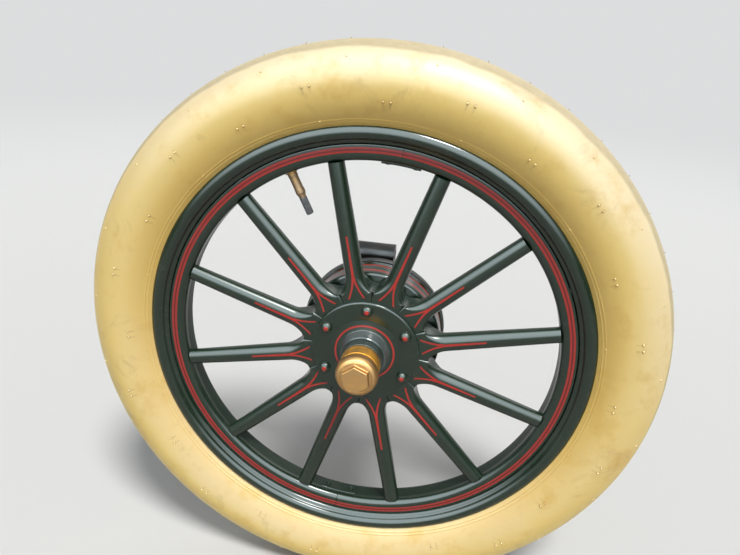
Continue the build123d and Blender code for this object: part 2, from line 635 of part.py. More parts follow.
valve_cap_end = valve_inner - VALVE_TAPER - VALVE_CAP_LENGTH
with BuildPart() as valve_cap:
    with BuildSketch(radial_plane(valve_cap_end + 2.0, VALVE_ANGLE, 0)):
        Circle(VALVE_CAP_RADIUS)
    extrude(amount=VALVE_CAP_LENGTH - 2.0)
    with BuildSketch(radial_plane(valve_cap_end, VALVE_ANGLE, 0)):
        Circle(VALVE_CAP_RADIUS - 1.4)
    with BuildSketch(radial_plane(valve_cap_end + 2.0, VALVE_ANGLE, 0)):
        Circle(VALVE_CAP_RADIUS)
    loft(ruled=True)
valve_cap.part.label = "valve_cap"
export_step(valve_cap.part, "parts/valve_cap.step")

# The housing's end carries the bearing, the backing plate on its flange, the perch boss and the cam ear.
bearing_inner_end = NOSE_FRONT - BEARING_RECESS - BEARING_LENGTH
perch_y = -(WHEEL_OFFSET + PERCH_AT)
perch_boss_radius = PERCH_SHANK_RADIUS + PERCH_BOSS_WALL
cam_x, cam_z = polar(DRUM_RADIUS - CAM_INSET, CAM_ANGLE)
with BuildPart() as axle_housing:
    with BuildSketch(TURNING):
        with BuildLine():
            Polyline(
                (BEARING_RADIUS, NOSE_FRONT),
                (HOUSING_NOSE_RADIUS, NOSE_FRONT),
                (HOUSING_NOSE_RADIUS, BACKING_REAR),
                (HOUSING_FLANGE_RADIUS, BACKING_REAR),
                (HOUSING_FLANGE_RADIUS, HOUSING_FLANGE_REAR),
                (HOUSING_BARREL_RADIUS, HOUSING_FLANGE_REAR),
                (HOUSING_BARREL_RADIUS, SPIGOT_START + HOUSING_TAPER),
                (SPIGOT_RADIUS, SPIGOT_START),
                (SPIGOT_RADIUS, SPIGOT_END + SPIGOT_CHAMFER),
                (SPIGOT_RADIUS - SPIGOT_CHAMFER, SPIGOT_END),
                (HOUSING_BORE_RADIUS, SPIGOT_END),
                (HOUSING_BORE_RADIUS, bearing_inner_end),
                (BEARING_RADIUS, bearing_inner_end),
                close=True,
            )
        make_face()
    revolve(axis=Axis.Y)
    with BuildSketch(facing(HOUSING_FLANGE_REAR)):
        Circle(HOUSING_BARREL_RADIUS)
        with Locations((cam_x, cam_z)):
            Circle(CAM_RADIUS + CAM_EAR_WALL)
        make_hull()
        Circle(BEARING_RADIUS + HOUSING_NOSE_WALL / 2, mode=Mode.SUBTRACT)
    extrude(amount=HOUSING_FLANGE_THICKNESS)
    with BuildSketch(Plane.YZ.offset(-PERCH_BOSS_LENGTH / 2)):
        with BuildLine():
            Polyline(
                (perch_y - PERCH_WEB_WIDTH / 2, WEB_ROOT_RADIUS),
                (perch_y + PERCH_WEB_WIDTH / 2, WEB_ROOT_RADIUS),
                (perch_y + perch_boss_radius, PERCH_BOSS_HEIGHT),
                (perch_y - perch_boss_radius, PERCH_BOSS_HEIGHT),
                close=True,
            )
        make_face()
        with Locations((perch_y, PERCH_BOSS_HEIGHT)):
            Circle(perch_boss_radius)
            Circle(PERCH_SHANK_RADIUS + SEAT_CLEARANCE, mode=Mode.SUBTRACT)
    extrude(amount=PERCH_BOSS_LENGTH)
    with BuildSketch(radial_plane(WEB_ROOT_RADIUS, CUP_ANGLE, CUP_AT)):
        Circle(CUP_STEM_RADIUS + CUP_PAD_WALL)
    extrude(amount=HOUSING_BARREL_RADIUS + CUP_PAD_HEIGHT - WEB_ROOT_RADIUS)
    with BuildSketch(radial_plane(HOUSING_BARREL_RADIUS + CUP_PAD_HEIGHT, CUP_ANGLE, CUP_AT)):
        Circle(CUP_STEM_RADIUS + SEAT_CLEARANCE)
    extrude(amount=-(CUP_STEM_LENGTH + SEAT_CLEARANCE), mode=Mode.SUBTRACT)
    with BuildSketch(facing(HOUSING_FLANGE_REAR)):
        with PolarLocations(BACKING_BOLT_CIRCLE_RADIUS, BACKING_BOLT_COUNT, start_angle=BACKING_BOLT_ANGLE):
            Circle(BACKING_BOLT_RADIUS + SEAT_CLEARANCE)
        with Locations((cam_x, cam_z)):
            Circle(CAM_RADIUS + SEAT_CLEARANCE)
    extrude(amount=HOUSING_FLANGE_THICKNESS, mode=Mode.SUBTRACT)
axle_housing.part.label = "axle_housing"
export_step(axle_housing.part, "parts/axle_housing.step")

# The bearing's sleeve sits in the nose of the housing, and the shaft runs in it.
with BuildPart() as bearing_sleeve:
    with BuildSketch(facing(bearing_inner_end)):
        Circle(BEARING_RADIUS - SHAFT_CLEARANCE)
        Circle(SHAFT_RADIUS + SHAFT_CLEARANCE, mode=Mode.SUBTRACT)
    extrude(amount=BEARING_LENGTH)
bearing_sleeve.part.label = "bearing_sleeve"
export_step(bearing_sleeve.part, "parts/bearing_sleeve.step")

# The backing plate closes the drum from behind, with its edge turned away from the wheel.
with BuildPart() as backing_plate:
    with BuildSketch(TURNING):
        with BuildLine():
            Polyline(
                (HOUSING_NOSE_RADIUS + SEAT_CLEARANCE, BACKING_FRONT),
                (BACKING_RADIUS, BACKING_FRONT),
                (BACKING_RADIUS, BACKING_REAR - BACKING_EDGE),
                (BACKING_RADIUS - BACKING_THICKNESS, BACKING_REAR - BACKING_EDGE),
                (BACKING_RADIUS - BACKING_THICKNESS, BACKING_REAR),
                (HOUSING_NOSE_RADIUS + SEAT_CLEARANCE, BACKING_REAR),
                close=True,
            )
        make_face()
    revolve(axis=Axis.Y)
    with BuildSketch(facing(BACKING_REAR)):
        with PolarLocations(BACKING_BOLT_CIRCLE_RADIUS, BACKING_BOLT_COUNT, start_angle=BACKING_BOLT_ANGLE):
            Circle(BACKING_BOLT_RADIUS + SEAT_CLEARANCE)
        with Locations((cam_x, cam_z)):
            Circle(CAM_RADIUS + SEAT_CLEARANCE)
    extrude(amount=BACKING_THICKNESS, mode=Mode.SUBTRACT)
backing_plate.part.label = "backing_plate"
export_step(backing_plate.part, "parts/backing_plate.step")

with BuildPart() as backing_bolts:
    with BuildSketch(facing(HOUSING_FLANGE_REAR - BACKING_HEAD_THICKNESS)):
        with PolarLocations(BACKING_BOLT_CIRCLE_RADIUS, BACKING_BOLT_COUNT, start_angle=BACKING_BOLT_ANGLE):
            RegularPolygon(across_corners(BACKING_HEAD_ACROSS_FLATS), 6)
    extrude(amount=BACKING_HEAD_THICKNESS)
    with BuildSketch(facing(HOUSING_FLANGE_REAR)):
        with PolarLocations(BACKING_BOLT_CIRCLE_RADIUS, BACKING_BOLT_COUNT, start_angle=BACKING_BOLT_ANGLE):
            Circle(BACKING_BOLT_RADIUS)
    extrude(amount=BACKING_FRONT - HOUSING_FLANGE_REAR)
backing_bolts.part.label = "backing_bolts"
export_step(backing_bolts.part, "parts/backing_bolts.step")

# The perch's shank lies in the boss, and its limb lifts the eye that the spring's shackle holds.
limb_end = -PERCH_BOSS_LENGTH / 2 - SEAT_CLEARANCE
limb_start = limb_end - PERCH_LIMB_THICKNESS
shank_end = PERCH_BOSS_LENGTH / 2 + SEAT_CLEARANCE + PERCH_NUT_THICKNESS + PERCH_SHANK_PROUD
perch_eye_radius = PERCH_EYE_BORE_RADIUS + PERCH_EYE_WALL
with BuildPart() as spring_perch:
    with BuildSketch(Plane.YZ.offset(limb_start)):
        with Locations((perch_y, (PERCH_BOSS_HEIGHT + PERCH_EYE_HEIGHT) / 2)):
            SlotCenterToCenter(PERCH_EYE_HEIGHT - PERCH_BOSS_HEIGHT, 2 * perch_eye_radius, rotation=90)
    extrude(amount=PERCH_LIMB_THICKNESS)
    with BuildSketch(Plane.YZ.offset(limb_start)):
        with Locations((perch_y, PERCH_EYE_HEIGHT)):
            Circle(perch_eye_radius)
    extrude(amount=PERCH_EYE_REACH - limb_start)
    with BuildSketch(Plane.YZ.offset(limb_start)):
        with Locations((perch_y, PERCH_BOSS_HEIGHT)):
            Circle(PERCH_SHANK_RADIUS)
    extrude(amount=shank_end - limb_start)
    with BuildSketch(Plane.YZ.offset(limb_start)):
        with Locations((perch_y, PERCH_EYE_HEIGHT)):
            Circle(PERCH_EYE_BORE_RADIUS)
    extrude(amount=PERCH_EYE_REACH - limb_start, mode=Mode.SUBTRACT)
spring_perch.part.label = "spring_perch"
export_step(spring_perch.part, "parts/spring_perch.step")

with BuildPart() as perch_nut:
    with BuildSketch(Plane.YZ.offset(PERCH_BOSS_LENGTH / 2 + SEAT_CLEARANCE)):
        with Locations((perch_y, PERCH_BOSS_HEIGHT)):
            RegularPolygon(across_corners(PERCH_NUT_ACROSS_FLATS), 6)
            Circle(PERCH_SHANK_RADIUS + SHAFT_CLEARANCE, mode=Mode.SUBTRACT)
    extrude(amount=PERCH_NUT_THICKNESS)
perch_nut.part.label = "perch_nut"
export_step(perch_nut.part, "parts/perch_nut.step")

# The brake's camshaft turns in the ear, with its lever behind it and a stud for the brake rod.
lever_front = HOUSING_FLANGE_REAR - LEVER_GAP
lever_rear = lever_front - LEVER_THICKNESS
cam_front = BACKING_FRONT + CAM_INSIDE
tip_x = cam_x + polar(LEVER_LENGTH, LEVER_ANGLE)[0]
tip_z = cam_z + polar(LEVER_LENGTH, LEVER_ANGLE)[1]
with BuildPart() as brake_camshaft:
    with BuildSketch(facing(lever_rear - CAM_PROUD)):
        with Locations((cam_x, cam_z)):
            Circle(CAM_RADIUS)
    extrude(amount=cam_front - lever_rear + CAM_PROUD)
brake_camshaft.part.label = "brake_camshaft"
export_step(brake_camshaft.part, "parts/brake_camshaft.step")

with BuildPart() as brake_lever:
    with BuildSketch(facing(lever_rear)):
        with Locations((cam_x, cam_z)):
            Circle(CAM_RADIUS + LEVER_BOSS_WALL)
        with Locations((tip_x, tip_z)):
            Circle(STUD_SEAT_RADIUS + LEVER_TIP_WALL)
        make_hull()
        with Locations((cam_x, cam_z)):
            Circle(CAM_RADIUS + SHAFT_CLEARANCE, mode=Mode.SUBTRACT)
        with Locations((tip_x, tip_z)):
            Circle(STUD_SEAT_RADIUS + SHAFT_CLEARANCE, mode=Mode.SUBTRACT)
    extrude(amount=LEVER_THICKNESS)
brake_lever.part.label = "brake_lever"
export_step(brake_lever.part, "parts/brake_lever.step")

# Columns: station where the length starts, radius, length.
STUD_STEPS = (
    (lever_rear - STUD_LENGTH, STUD_RADIUS, STUD_LENGTH),
    (lever_rear, STUD_SEAT_RADIUS, LEVER_THICKNESS),
    (lever_front, STUD_HEAD_RADIUS, STUD_HEAD_THICKNESS),
)
with BuildPart() as brake_stud:
    for station, radius, length in STUD_STEPS:
        with BuildSketch(facing(station)):
            with Locations((tip_x, tip_z)):
                Circle(radius)
        extrude(amount=length)
brake_stud.part.label = "brake_stud"
export_step(brake_stud.part, "parts/brake_stud.step")

# The grease cup stands on a pad on the housing, with a hexagon under its screwed cap.
cup_seat = HOUSING_BARREL_RADIUS + CUP_PAD_HEIGHT
with BuildPart() as grease_cup:
    with BuildSketch(radial_plane(cup_seat - CUP_STEM_LENGTH, CUP_ANGLE, CUP_AT)):
        Circle(CUP_STEM_RADIUS)
    extrude(amount=CUP_STEM_LENGTH)
    with BuildSketch(radial_plane(cup_seat, CUP_ANGLE, CUP_AT)):
        RegularPolygon(across_corners(CUP_HEX_ACROSS_FLATS), 6)
    extrude(amount=CUP_HEX_THICKNESS)
    with BuildSketch(radial_plane(cup_seat + CUP_HEX_THICKNESS, CUP_ANGLE, CUP_AT)):
        Circle(CUP_CAP_RADIUS)
    extrude(amount=CUP_CAP_HEIGHT)
grease_cup.part.label = "grease_cup"
export_step(grease_cup.part, "parts/grease_cup.step")
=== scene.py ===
"""The wood-spoked wheel of a vintage car on the end of its rear axle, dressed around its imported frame."""

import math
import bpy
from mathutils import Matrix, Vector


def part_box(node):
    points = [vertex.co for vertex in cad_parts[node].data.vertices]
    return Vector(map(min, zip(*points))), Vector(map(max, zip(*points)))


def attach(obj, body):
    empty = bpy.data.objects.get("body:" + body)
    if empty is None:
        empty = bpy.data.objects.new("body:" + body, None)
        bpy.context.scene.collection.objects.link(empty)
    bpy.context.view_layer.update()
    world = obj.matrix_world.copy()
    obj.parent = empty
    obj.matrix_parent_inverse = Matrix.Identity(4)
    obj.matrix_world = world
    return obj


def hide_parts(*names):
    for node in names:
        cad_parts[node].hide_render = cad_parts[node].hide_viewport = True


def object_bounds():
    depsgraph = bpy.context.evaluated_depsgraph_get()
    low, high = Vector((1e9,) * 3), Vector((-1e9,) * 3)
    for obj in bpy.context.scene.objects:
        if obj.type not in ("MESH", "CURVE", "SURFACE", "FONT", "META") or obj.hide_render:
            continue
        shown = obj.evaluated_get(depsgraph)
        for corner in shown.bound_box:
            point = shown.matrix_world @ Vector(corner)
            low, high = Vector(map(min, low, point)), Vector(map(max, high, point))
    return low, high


bl_info = {
    "name": "Vintage Wheel and Axle End",
    "version": (1, 0, 0),
    "blender": (4, 5, 0),
    "location": "View3D > Sidebar > Wheel",
    "description": "Builds the wheel and the axle end with their rubber, enamel, brass and iron finishes",
    "category": "Add Mesh",
}

import bmesh
import bpy
import numpy as np
from mathutils import Matrix, Vector

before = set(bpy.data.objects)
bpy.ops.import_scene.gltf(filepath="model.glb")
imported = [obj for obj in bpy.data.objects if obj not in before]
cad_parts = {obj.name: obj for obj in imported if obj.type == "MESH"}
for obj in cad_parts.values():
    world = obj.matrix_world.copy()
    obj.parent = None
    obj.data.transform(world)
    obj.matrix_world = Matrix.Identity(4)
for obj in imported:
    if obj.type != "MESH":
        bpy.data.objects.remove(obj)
CAD_BOX = [list(corner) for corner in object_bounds()]

# Lengths are in metres where no comment says millimetres. A station is a distance outwards from the wheel's
# middle plane. Angles are seen from outside, anticlockwise from +X.
MM = 0.001
TYRE_LOW, TYRE_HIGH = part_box("tyre")
WHEEL_MIDDLE = (TYRE_LOW.y + TYRE_HIGH.y) / 2
HUB_POINT = np.array((0.0, WHEEL_MIDDLE, 0.0))
FLOOR_HEIGHT = CAD_BOX[0][2]
OUTWARDS = np.array((0.0, -1.0, 0.0))
AHEAD = np.array((1.0, 0.0, 0.0))
UP = np.array((0.0, 0.0, 1.0))
# Turns a section's outboard half into its inboard half.
OTHER_SIDE = np.array((1.0, -1.0))
# Points nearer than the distance are one point. Edges sharper than the angle, in degrees, stay sharp.
MERGE_DISTANCE = 2e-6
SHARP_ANGLE = 32.0
# How a frame node's edges are rounded.
WELD_DISTANCE = 1e-5
ROUNDED_ABOVE = math.radians(28)
ROUNDING_STEPS = 3


def length(name, text, default):
    """A length that a user may change."""
    return bpy.props.FloatProperty(name=name, description=text, default=default, unit="LENGTH")


def colour(name, text, default):
    """A linear colour that a user may change."""
    return bpy.props.FloatVectorProperty(
        name=name, description=text, default=default, size=3, subtype="COLOR", min=0.0, max=1.0
    )


def share(name, text, default):
    """A share from 0 to 1 that a user may change."""
    return bpy.props.FloatProperty(
        name=name, description=text, default=default, min=0.0, max=1.0, subtype="FACTOR"
    )


def count(name, text, default):
    """A number of copies that a user may change."""
    return bpy.props.IntProperty(name=name, description=text, default=default, min=1)


def turn(name, text, default):
    """An angle that a user may change."""
    return bpy.props.FloatProperty(name=name, description=text, default=default, unit="ROTATION")


class TyreSettings(bpy.types.PropertyGroup):
    """Sizes and colours of the tyre"""

    radius: length("Radius", "Radius of the tyre at its crown", TYRE_HIGH.z)
    half_width: length("Half width", "Half the width of the tyre", (TYRE_HIGH.y - TYRE_LOW.y) / 2)
    sidewall_radius: length("Sidewall radius", "Radius of the long arc down each sidewall", 82.6 * MM)
    ring_radius: length("Ring radius", "Mean radius of the two moulded rings beside the rim", 295.6 * MM)
    ring_spacing: length("Ring spacing", "Distance between the two moulded rings", 3.4 * MM)
    ring_height: length("Ring height", "Height of a moulded ring", 0.35 * MM)
    vent_pairs: count("Vent pairs", "Pairs of vent nubs round each sidewall", 23)
    first_vent: turn("First vent", "Angle of the pair of vent nubs next to the top", math.radians(104.3))
    vent_length: length("Vent length", "Length of a vent nub on the sidewall", 2.0 * MM)
    spike_length: length("Spike length", "Length of an untrimmed vent on the crown", 2.6 * MM)
    cream: colour("Cream", "Colour of the rubber", (0.75, 0.535, 0.155))
    # Ochre also paints the shade that darkens the sidewall towards the rim.
    ochre: colour("Ochre", "Colour of the aged patches", (0.60, 0.36, 0.065))
    # Painted light: this paler cream is where the tyre faces the light.
    sunlit_cream: colour("Faded", "Colour of the bleached patches", (0.79, 0.66, 0.42))
    tread: colour("Tread", "Colour of the worn tread", (0.40, 0.33, 0.20))
    # The colour of the stains also paints the shade in the fold beside the rim and round the nubs.
    stain_and_shade: colour("Stain", "Colour of the stains at the vents", (0.33, 0.17, 0.045))


class PaintSettings(bpy.types.PropertyGroup):
    """Colours and gloss of the painted pieces"""

    enamel: colour("Enamel", "Colour of the green enamel", (0.0050, 0.0150, 0.0062))
    enamel_worn: colour("Worn enamel", "Colour of rubbed and dusty enamel", (0.010, 0.021, 0.011))
    stripe: colour("Stripe", "Colour of the lining", (0.44, 0.019, 0.012))
    stripe_dark: colour("Dark stripe", "Colour between the double lines", (0.11, 0.005, 0.004))
    dust: colour("Dust", "Colour of road dust", (0.13, 0.12, 0.10))
    # Painted reflection: the rubbed colour is the blue-grey of the sky on the hub's collar and barrel and on
    # the plate's edge.
    rubbed: colour("Rubbed", "Colour of the enamel where its varnish is gone", (0.13, 0.16, 0.165))
    roughness: share("Roughness", "Roughness of the enamel under its varnish", 0.32)
    iron: colour("Black paint", "Colour of the chassis paint", (0.012, 0.012, 0.0115))


class MetalSettings(bpy.types.PropertyGroup):
    """Colours of the bare metals"""

    brass: colour("Brass", "Colour of dull brass", (0.33, 0.19, 0.078))
    tarnish: colour("Tarnish", "Colour of tarnished brass", (0.50, 0.25, 0.035))
    browned: colour("Browned brass", "Colour of brass that was never polished", (0.19, 0.125, 0.072))
    steel: colour("Steel", "Colour of bare steel", (0.38, 0.37, 0.355))
    oxide: colour("Oxide", "Colour of oxide and old oil on steel", (0.085, 0.055, 0.035))


class WheelSettings(bpy.types.PropertyGroup):
    """Sizes of the rim, felloe, spokes and hub"""

    rim_seat: length("Rim seat", "Radius of the felloe's seat under the rim", 267.4 * MM)
    rim_thickness: length("Rim thickness", "Thickness of the rolled rim", 2.6 * MM)
    felloe_inner: length("Felloe inner radius", "Radius of the felloe's inner face", 246.5 * MM)
    felloe_front: length("Felloe front", "Station of the felloe's front face", 23.9 * MM)
    felloe_back: length("Felloe back", "Station of the felloe's back face", -13.0 * MM)
    joint_angle: turn("Joint angle", "Angle of the felloe's upper joint", math.radians(83.82))
    spoke_count: count("Spokes", "Number of spokes", 12)
    first_spoke: turn("First spoke", "Angle of the first spoke", math.radians(12.0))
    crotch: length("Crotch", "Radius at which neighbouring spokes part", 80.0 * MM)
    neck: length("Neck", "Radius at which a spoke has become slender", 104.0 * MM)
    bolt_circle: length("Bolt circle", "Radius of the hub bolts' circle", 58.7 * MM)
    bolt_count: count("Bolts", "Number of hub bolts", 6)
    valve_angle: turn("Valve angle", "Angle of the valve", math.radians(116.5))


class StageSettings(bpy.types.PropertyGroup):
    """Floor, light and camera"""

    floor: colour("Floor", "Colour of the floor", (0.56, 0.56, 0.555))
    background: colour("Background", "Colour of the background", (0.72, 0.725, 0.73))
    ambient: share("Ambient", "Strength of the light from all round", 0.22)
    camera_place: bpy.props.FloatVectorProperty(
        name="Camera", description="Place of the camera", size=3, subtype="TRANSLATION", unit="LENGTH",
        default=(100.02 * MM, -953.23 * MM, 434.18 * MM),
    )
    camera_turn: turn("Turn", "Turn of the camera to the left", math.radians(7.39))
    camera_tilt: turn("Tilt", "Tilt of the camera above the horizon", math.radians(-23.076))
    camera_lean: turn("Lean", "Lean of the camera about its line of sight", math.radians(-3.873))
    focal_length: bpy.props.FloatProperty(
        name="Focal length", description="Focal length on a 36 mm sensor", default=33.26, unit="CAMERA"
    )


# Shapes


def direction(degrees):
    """The unit vector at an angle in degrees."""
    return np.array((math.cos(math.radians(degrees)), math.sin(math.radians(degrees))))


def arc(centre, radius, start, end, steps):
    """Points along an arc: its centre plus its radius times the direction of each angle, in degrees."""
    angles = np.radians(np.linspace(start, end, steps + 1))
    return np.stack([centre[0] + radius * np.cos(angles), centre[1] + radius * np.sin(angles)], axis=1)


def smooth(part):
    """A share from 0 to 1 with level ends: three times its square less twice its cube."""
    return part * part * (3 - 2 * part)


def rounded(corners, steps=5):
    """An outline in metres from rows (x, y, fillet) in millimetres, each corner replaced by a tangent arc.

    A point of the arc is the centre plus the two end radii. Each is weighted by the sine of the angle from
    the point to the other end, over the sine of the whole sweep.
    """
    table = np.array(corners, float) * MM
    points = []
    for before, (x, y, fillet), after in zip(np.roll(table, 1, 0), table, np.roll(table, -1, 0)):
        corner = np.array((x, y))
        back = before[:2] - corner
        ahead = after[:2] - corner
        if fillet <= 0 or not back.any() or not ahead.any():
            points.append(corner)
            continue
        back /= np.linalg.norm(back)
        ahead /= np.linalg.norm(ahead)
        half = math.acos(max(-1.0, min(1.0, float(back @ ahead)))) / 2
        bisector = (back + ahead) / np.linalg.norm(back + ahead)
        centre = corner + bisector * fillet / math.sin(half)
        first = corner + back * fillet / math.tan(half) - centre
        last = corner + ahead * fillet / math.tan(half) - centre
        sweep = math.pi - 2 * half
        for step in np.linspace(0, 1, steps + 1):
            blend = (math.sin((1 - step) * sweep) * first + math.sin(step * sweep) * last) / math.sin(sweep)
            points.append(centre + blend)
    return np.array(points)


def circle_angles(steps):
    """Angles evenly round a whole circle, without the last one, which would repeat the first."""
    return np.arange(steps) * 2 * math.pi / steps


def hexagon(across_flats, angles, turned_by=0.0):
    """The radius of a hexagon at each angle.

    It is half the distance across flats over the cosine of the angle from the nearest flat.
    """
    from_flat = (angles - turned_by) % (math.pi / 3) - math.pi / 6
    return across_flats / 2 / np.cos(from_flat)


def turned(radius, height, angles, origin, axis, first):
    """Points of a turned surface: origin + height * axis + radius * (cos * first + sin * second).

    radius has one value for each row, or for each row and angle.
    second is at right angles to axis and first.
    """
    radius = np.broadcast_to(np.reshape(radius, (len(height), -1)), (len(height), len(angles)))
    second = np.cross(axis, first)
    round_it = np.cos(angles)[:, None] * first + np.sin(angles)[:, None] * second
    return np.asarray(origin) + np.asarray(height)[:, None, None] * axis + radius[:, :, None] * round_it


def about_axle(profile, steps):
    """A profile of (radius, station) rows turned a whole turn about the axle."""
    return turned(profile[:, 0], profile[:, 1], circle_angles(steps), HUB_POINT, OUTWARDS, AHEAD)


def along_arc(profile, start, end, steps):
    """A profile of (radius, station) rows carried round the axle from one angle to another."""
    angles = np.linspace(start, end, steps + 1)
    points = turned(profile[:, 0], profile[:, 1], angles, HUB_POINT, OUTWARDS, AHEAD)
    return points.transpose(1, 0, 2)


def wheel_directions(angle):
    """The unit vectors away from the axle and anticlockwise round it, at an angle or at each of several."""
    cosine, sine, level = np.cos(angle), np.sin(angle), np.zeros_like(angle)
    return np.stack([cosine, level, sine], axis=-1), np.stack([-sine, level, cosine], axis=-1)


def radial_frame(angle, station):
    """The origin, outward axis and first direction of what stands on a radius of the wheel."""
    return OUTWARDS * station + HUB_POINT, wheel_directions(angle)[0], OUTWARDS


def grid_quads(rows, columns, close_rows):
    """Corner numbers of the quads between neighbouring grid points.

    The last column meets the first, and so do the rows where they are closed.
    """
    row, column = np.meshgrid(
        np.arange(rows if close_rows else rows - 1), np.arange(columns), indexing="ij"
    )
    next_row = (row + 1) % rows
    next_column = (column + 1) % columns
    corners = [row * columns + column, row * columns + next_column]
    corners += [next_row * columns + next_column, next_row * columns + column]
    return np.stack(corners, axis=-1).reshape(-1, 4)


def volume(points, quads):
    """Six times the signed volume inside the quads, which is positive when they face outwards."""
    a, b, c, d = (points[quads[:, corner]] for corner in range(4))
    return float((a * np.cross(b, c)).sum() + (a * np.cross(c, d)).sum())


def surface(name, points, close_rows=False, caps=False, lines=None, sharp=SHARP_ANGLE):
    """A mesh object from grids of points with the axes copy, row, column and xyz, with its faces outwards.

    Caps close the first and last row with flat faces. Lines are the two values of a UV map for each point.
    """
    grids = np.asarray(points, float)
    grids = grids if grids.ndim == 4 else grids[None]
    copies, rows, columns = grids.shape[:3]
    quads = grid_quads(rows, columns, close_rows)
    corners = quads.ravel()
    sizes = np.full(len(quads), 4)
    if caps:
        first = np.arange(columns)[::-1]
        last = np.arange(columns) + (rows - 1) * columns
        corners = np.concatenate([corners, first, last])
        sizes = np.append(sizes, (columns, columns))
    centred = grids[0].reshape(-1, 3) - grids[0].reshape(-1, 3).mean(axis=0)
    if volume(centred, quads) < 0:
        corners = corners[::-1]
        sizes = sizes[::-1]
    shift = np.arange(copies)[:, None] * rows * columns
    corners = (corners[None] + shift).ravel()
    sizes = np.tile(sizes, copies)
    mesh = bpy.data.meshes.new(name)
    mesh.vertices.add(copies * rows * columns)
    mesh.vertices.foreach_set("co", grids.astype(np.float32).ravel())
    mesh.loops.add(len(corners))
    mesh.loops.foreach_set("vertex_index", corners.astype(np.int32))
    mesh.polygons.add(len(sizes))
    mesh.polygons.foreach_set("loop_start", (np.cumsum(sizes) - sizes).astype(np.int32))
    mesh.update(calc_edges=True)
    if lines is not None:
        layer = mesh.uv_layers.new(name="lines")
        layer.data.foreach_set("uv", np.asarray(lines, np.float32).reshape(-1, 2)[corners].ravel())
    merge_poles(mesh)
    return smooth_object(name, mesh, sharp)


def merge_poles(mesh):
    """Joins the points that meet at a pole, so that the faces there are triangles."""
    shape = bmesh.new()
    shape.from_mesh(mesh)
    bmesh.ops.remove_doubles(shape, verts=shape.verts, dist=MERGE_DISTANCE)
    shape.to_mesh(mesh)
    shape.free()


def smooth_object(name, mesh, sharp):
    """An object for a mesh, shaded smooth apart from edges sharper than an angle in degrees."""
    mesh.shade_smooth()
    mesh.set_sharp_from_angle(angle=math.radians(sharp))
    made = bpy.data.objects.new(name, mesh)
    bpy.context.scene.collection.objects.link(made)
    return made


def join(name, pieces):
    """One object from several new ones, under a new name."""
    shape = bmesh.new()
    for piece in pieces:
        shape.from_mesh(piece.data)
    mesh = bpy.data.meshes.new(name)
    shape.to_mesh(mesh)
    shape.free()
    for piece in pieces:
        bpy.data.objects.remove(piece)
    return smooth_object(name, mesh, SHARP_ANGLE)


def seat(piece, body, material, slot, *nodes):
    """Paints a new piece, fixes it to its body and lets it stand for its frame nodes."""
    piece.data.materials.append(material)
    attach(piece, body)
    if nodes:
        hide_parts(*nodes)


def dress(node, material, edge=0.0):
    """Gives a frame node its finish and, for a given edge, rounds its edges with modifiers."""
    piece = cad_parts[node]
    piece.data.materials.clear()
    piece.data.materials.append(material)
    if edge:
        weld = piece.modifiers.new("weld", "WELD")
        weld.merge_threshold = WELD_DISTANCE
        bevel = piece.modifiers.new("edges", "BEVEL")
        bevel.width = edge
        bevel.segments = ROUNDING_STEPS
        bevel.limit_method = "ANGLE"
        bevel.angle_limit = ROUNDED_ABOVE
        bevel.harden_normals = True


# Shader maths


class Wire:
    """An output socket whose sums and products add Math nodes to its tree."""

    def __init__(self, tree, socket):
        self.tree = tree
        self.socket = socket

    def maths(self, operation, *terms, clamp=False):
        """A Math node's value from these terms, in order."""
        settings = {"operation": operation, "use_clamp": clamp}
        return self.tree.add("ShaderNodeMath", settings, dict(enumerate(terms)))

    def __add__(self, other):
        return self.maths("ADD", self, other)

    def __radd__(self, other):
        return self.maths("ADD", other, self)

    def __sub__(self, other):
        return self.maths("SUBTRACT", self, other)

    def __rsub__(self, other):
        return self.maths("SUBTRACT", other, self)

    def __mul__(self, other):
        return self.maths("MULTIPLY", self, other)

    def __rmul__(self, other):
        return self.maths("MULTIPLY", other, self)

    def __truediv__(self, other):
        return self.maths("DIVIDE", self, other)

    def __rtruediv__(self, other):
        return self.maths("DIVIDE", other, self)

    def __pow__(self, other):
        return self.maths("POWER", self, other)

    def __rpow__(self, other):
        return self.maths("POWER", other, self)

    def __abs__(self):
        return self.maths("ABSOLUTE", self)

    def __neg__(self):
        return self.maths("MULTIPLY", self, -1.0)

    def most(self, other):
        """The larger of two values."""
        return self.maths("MAXIMUM", self, other)

    def clamped(self):
        """The value held from 0 to 1."""
        return self.maths("ADD", self, 0.0, clamp=True)

    def steps(self, low, high):
        """A smooth step from 0 at low to 1 at high."""
        values = {"Value": self, "From Min": low, "From Max": high}
        return self.tree.add("ShaderNodeMapRange", {"interpolation_type": "SMOOTHSTEP"}, values)

    def band(self, middle, half, soft):
        """1 within a half width of the middle, fading over a soft edge."""
        return 1.0 - abs(self - middle).steps(half - soft / 2, half + soft / 2)


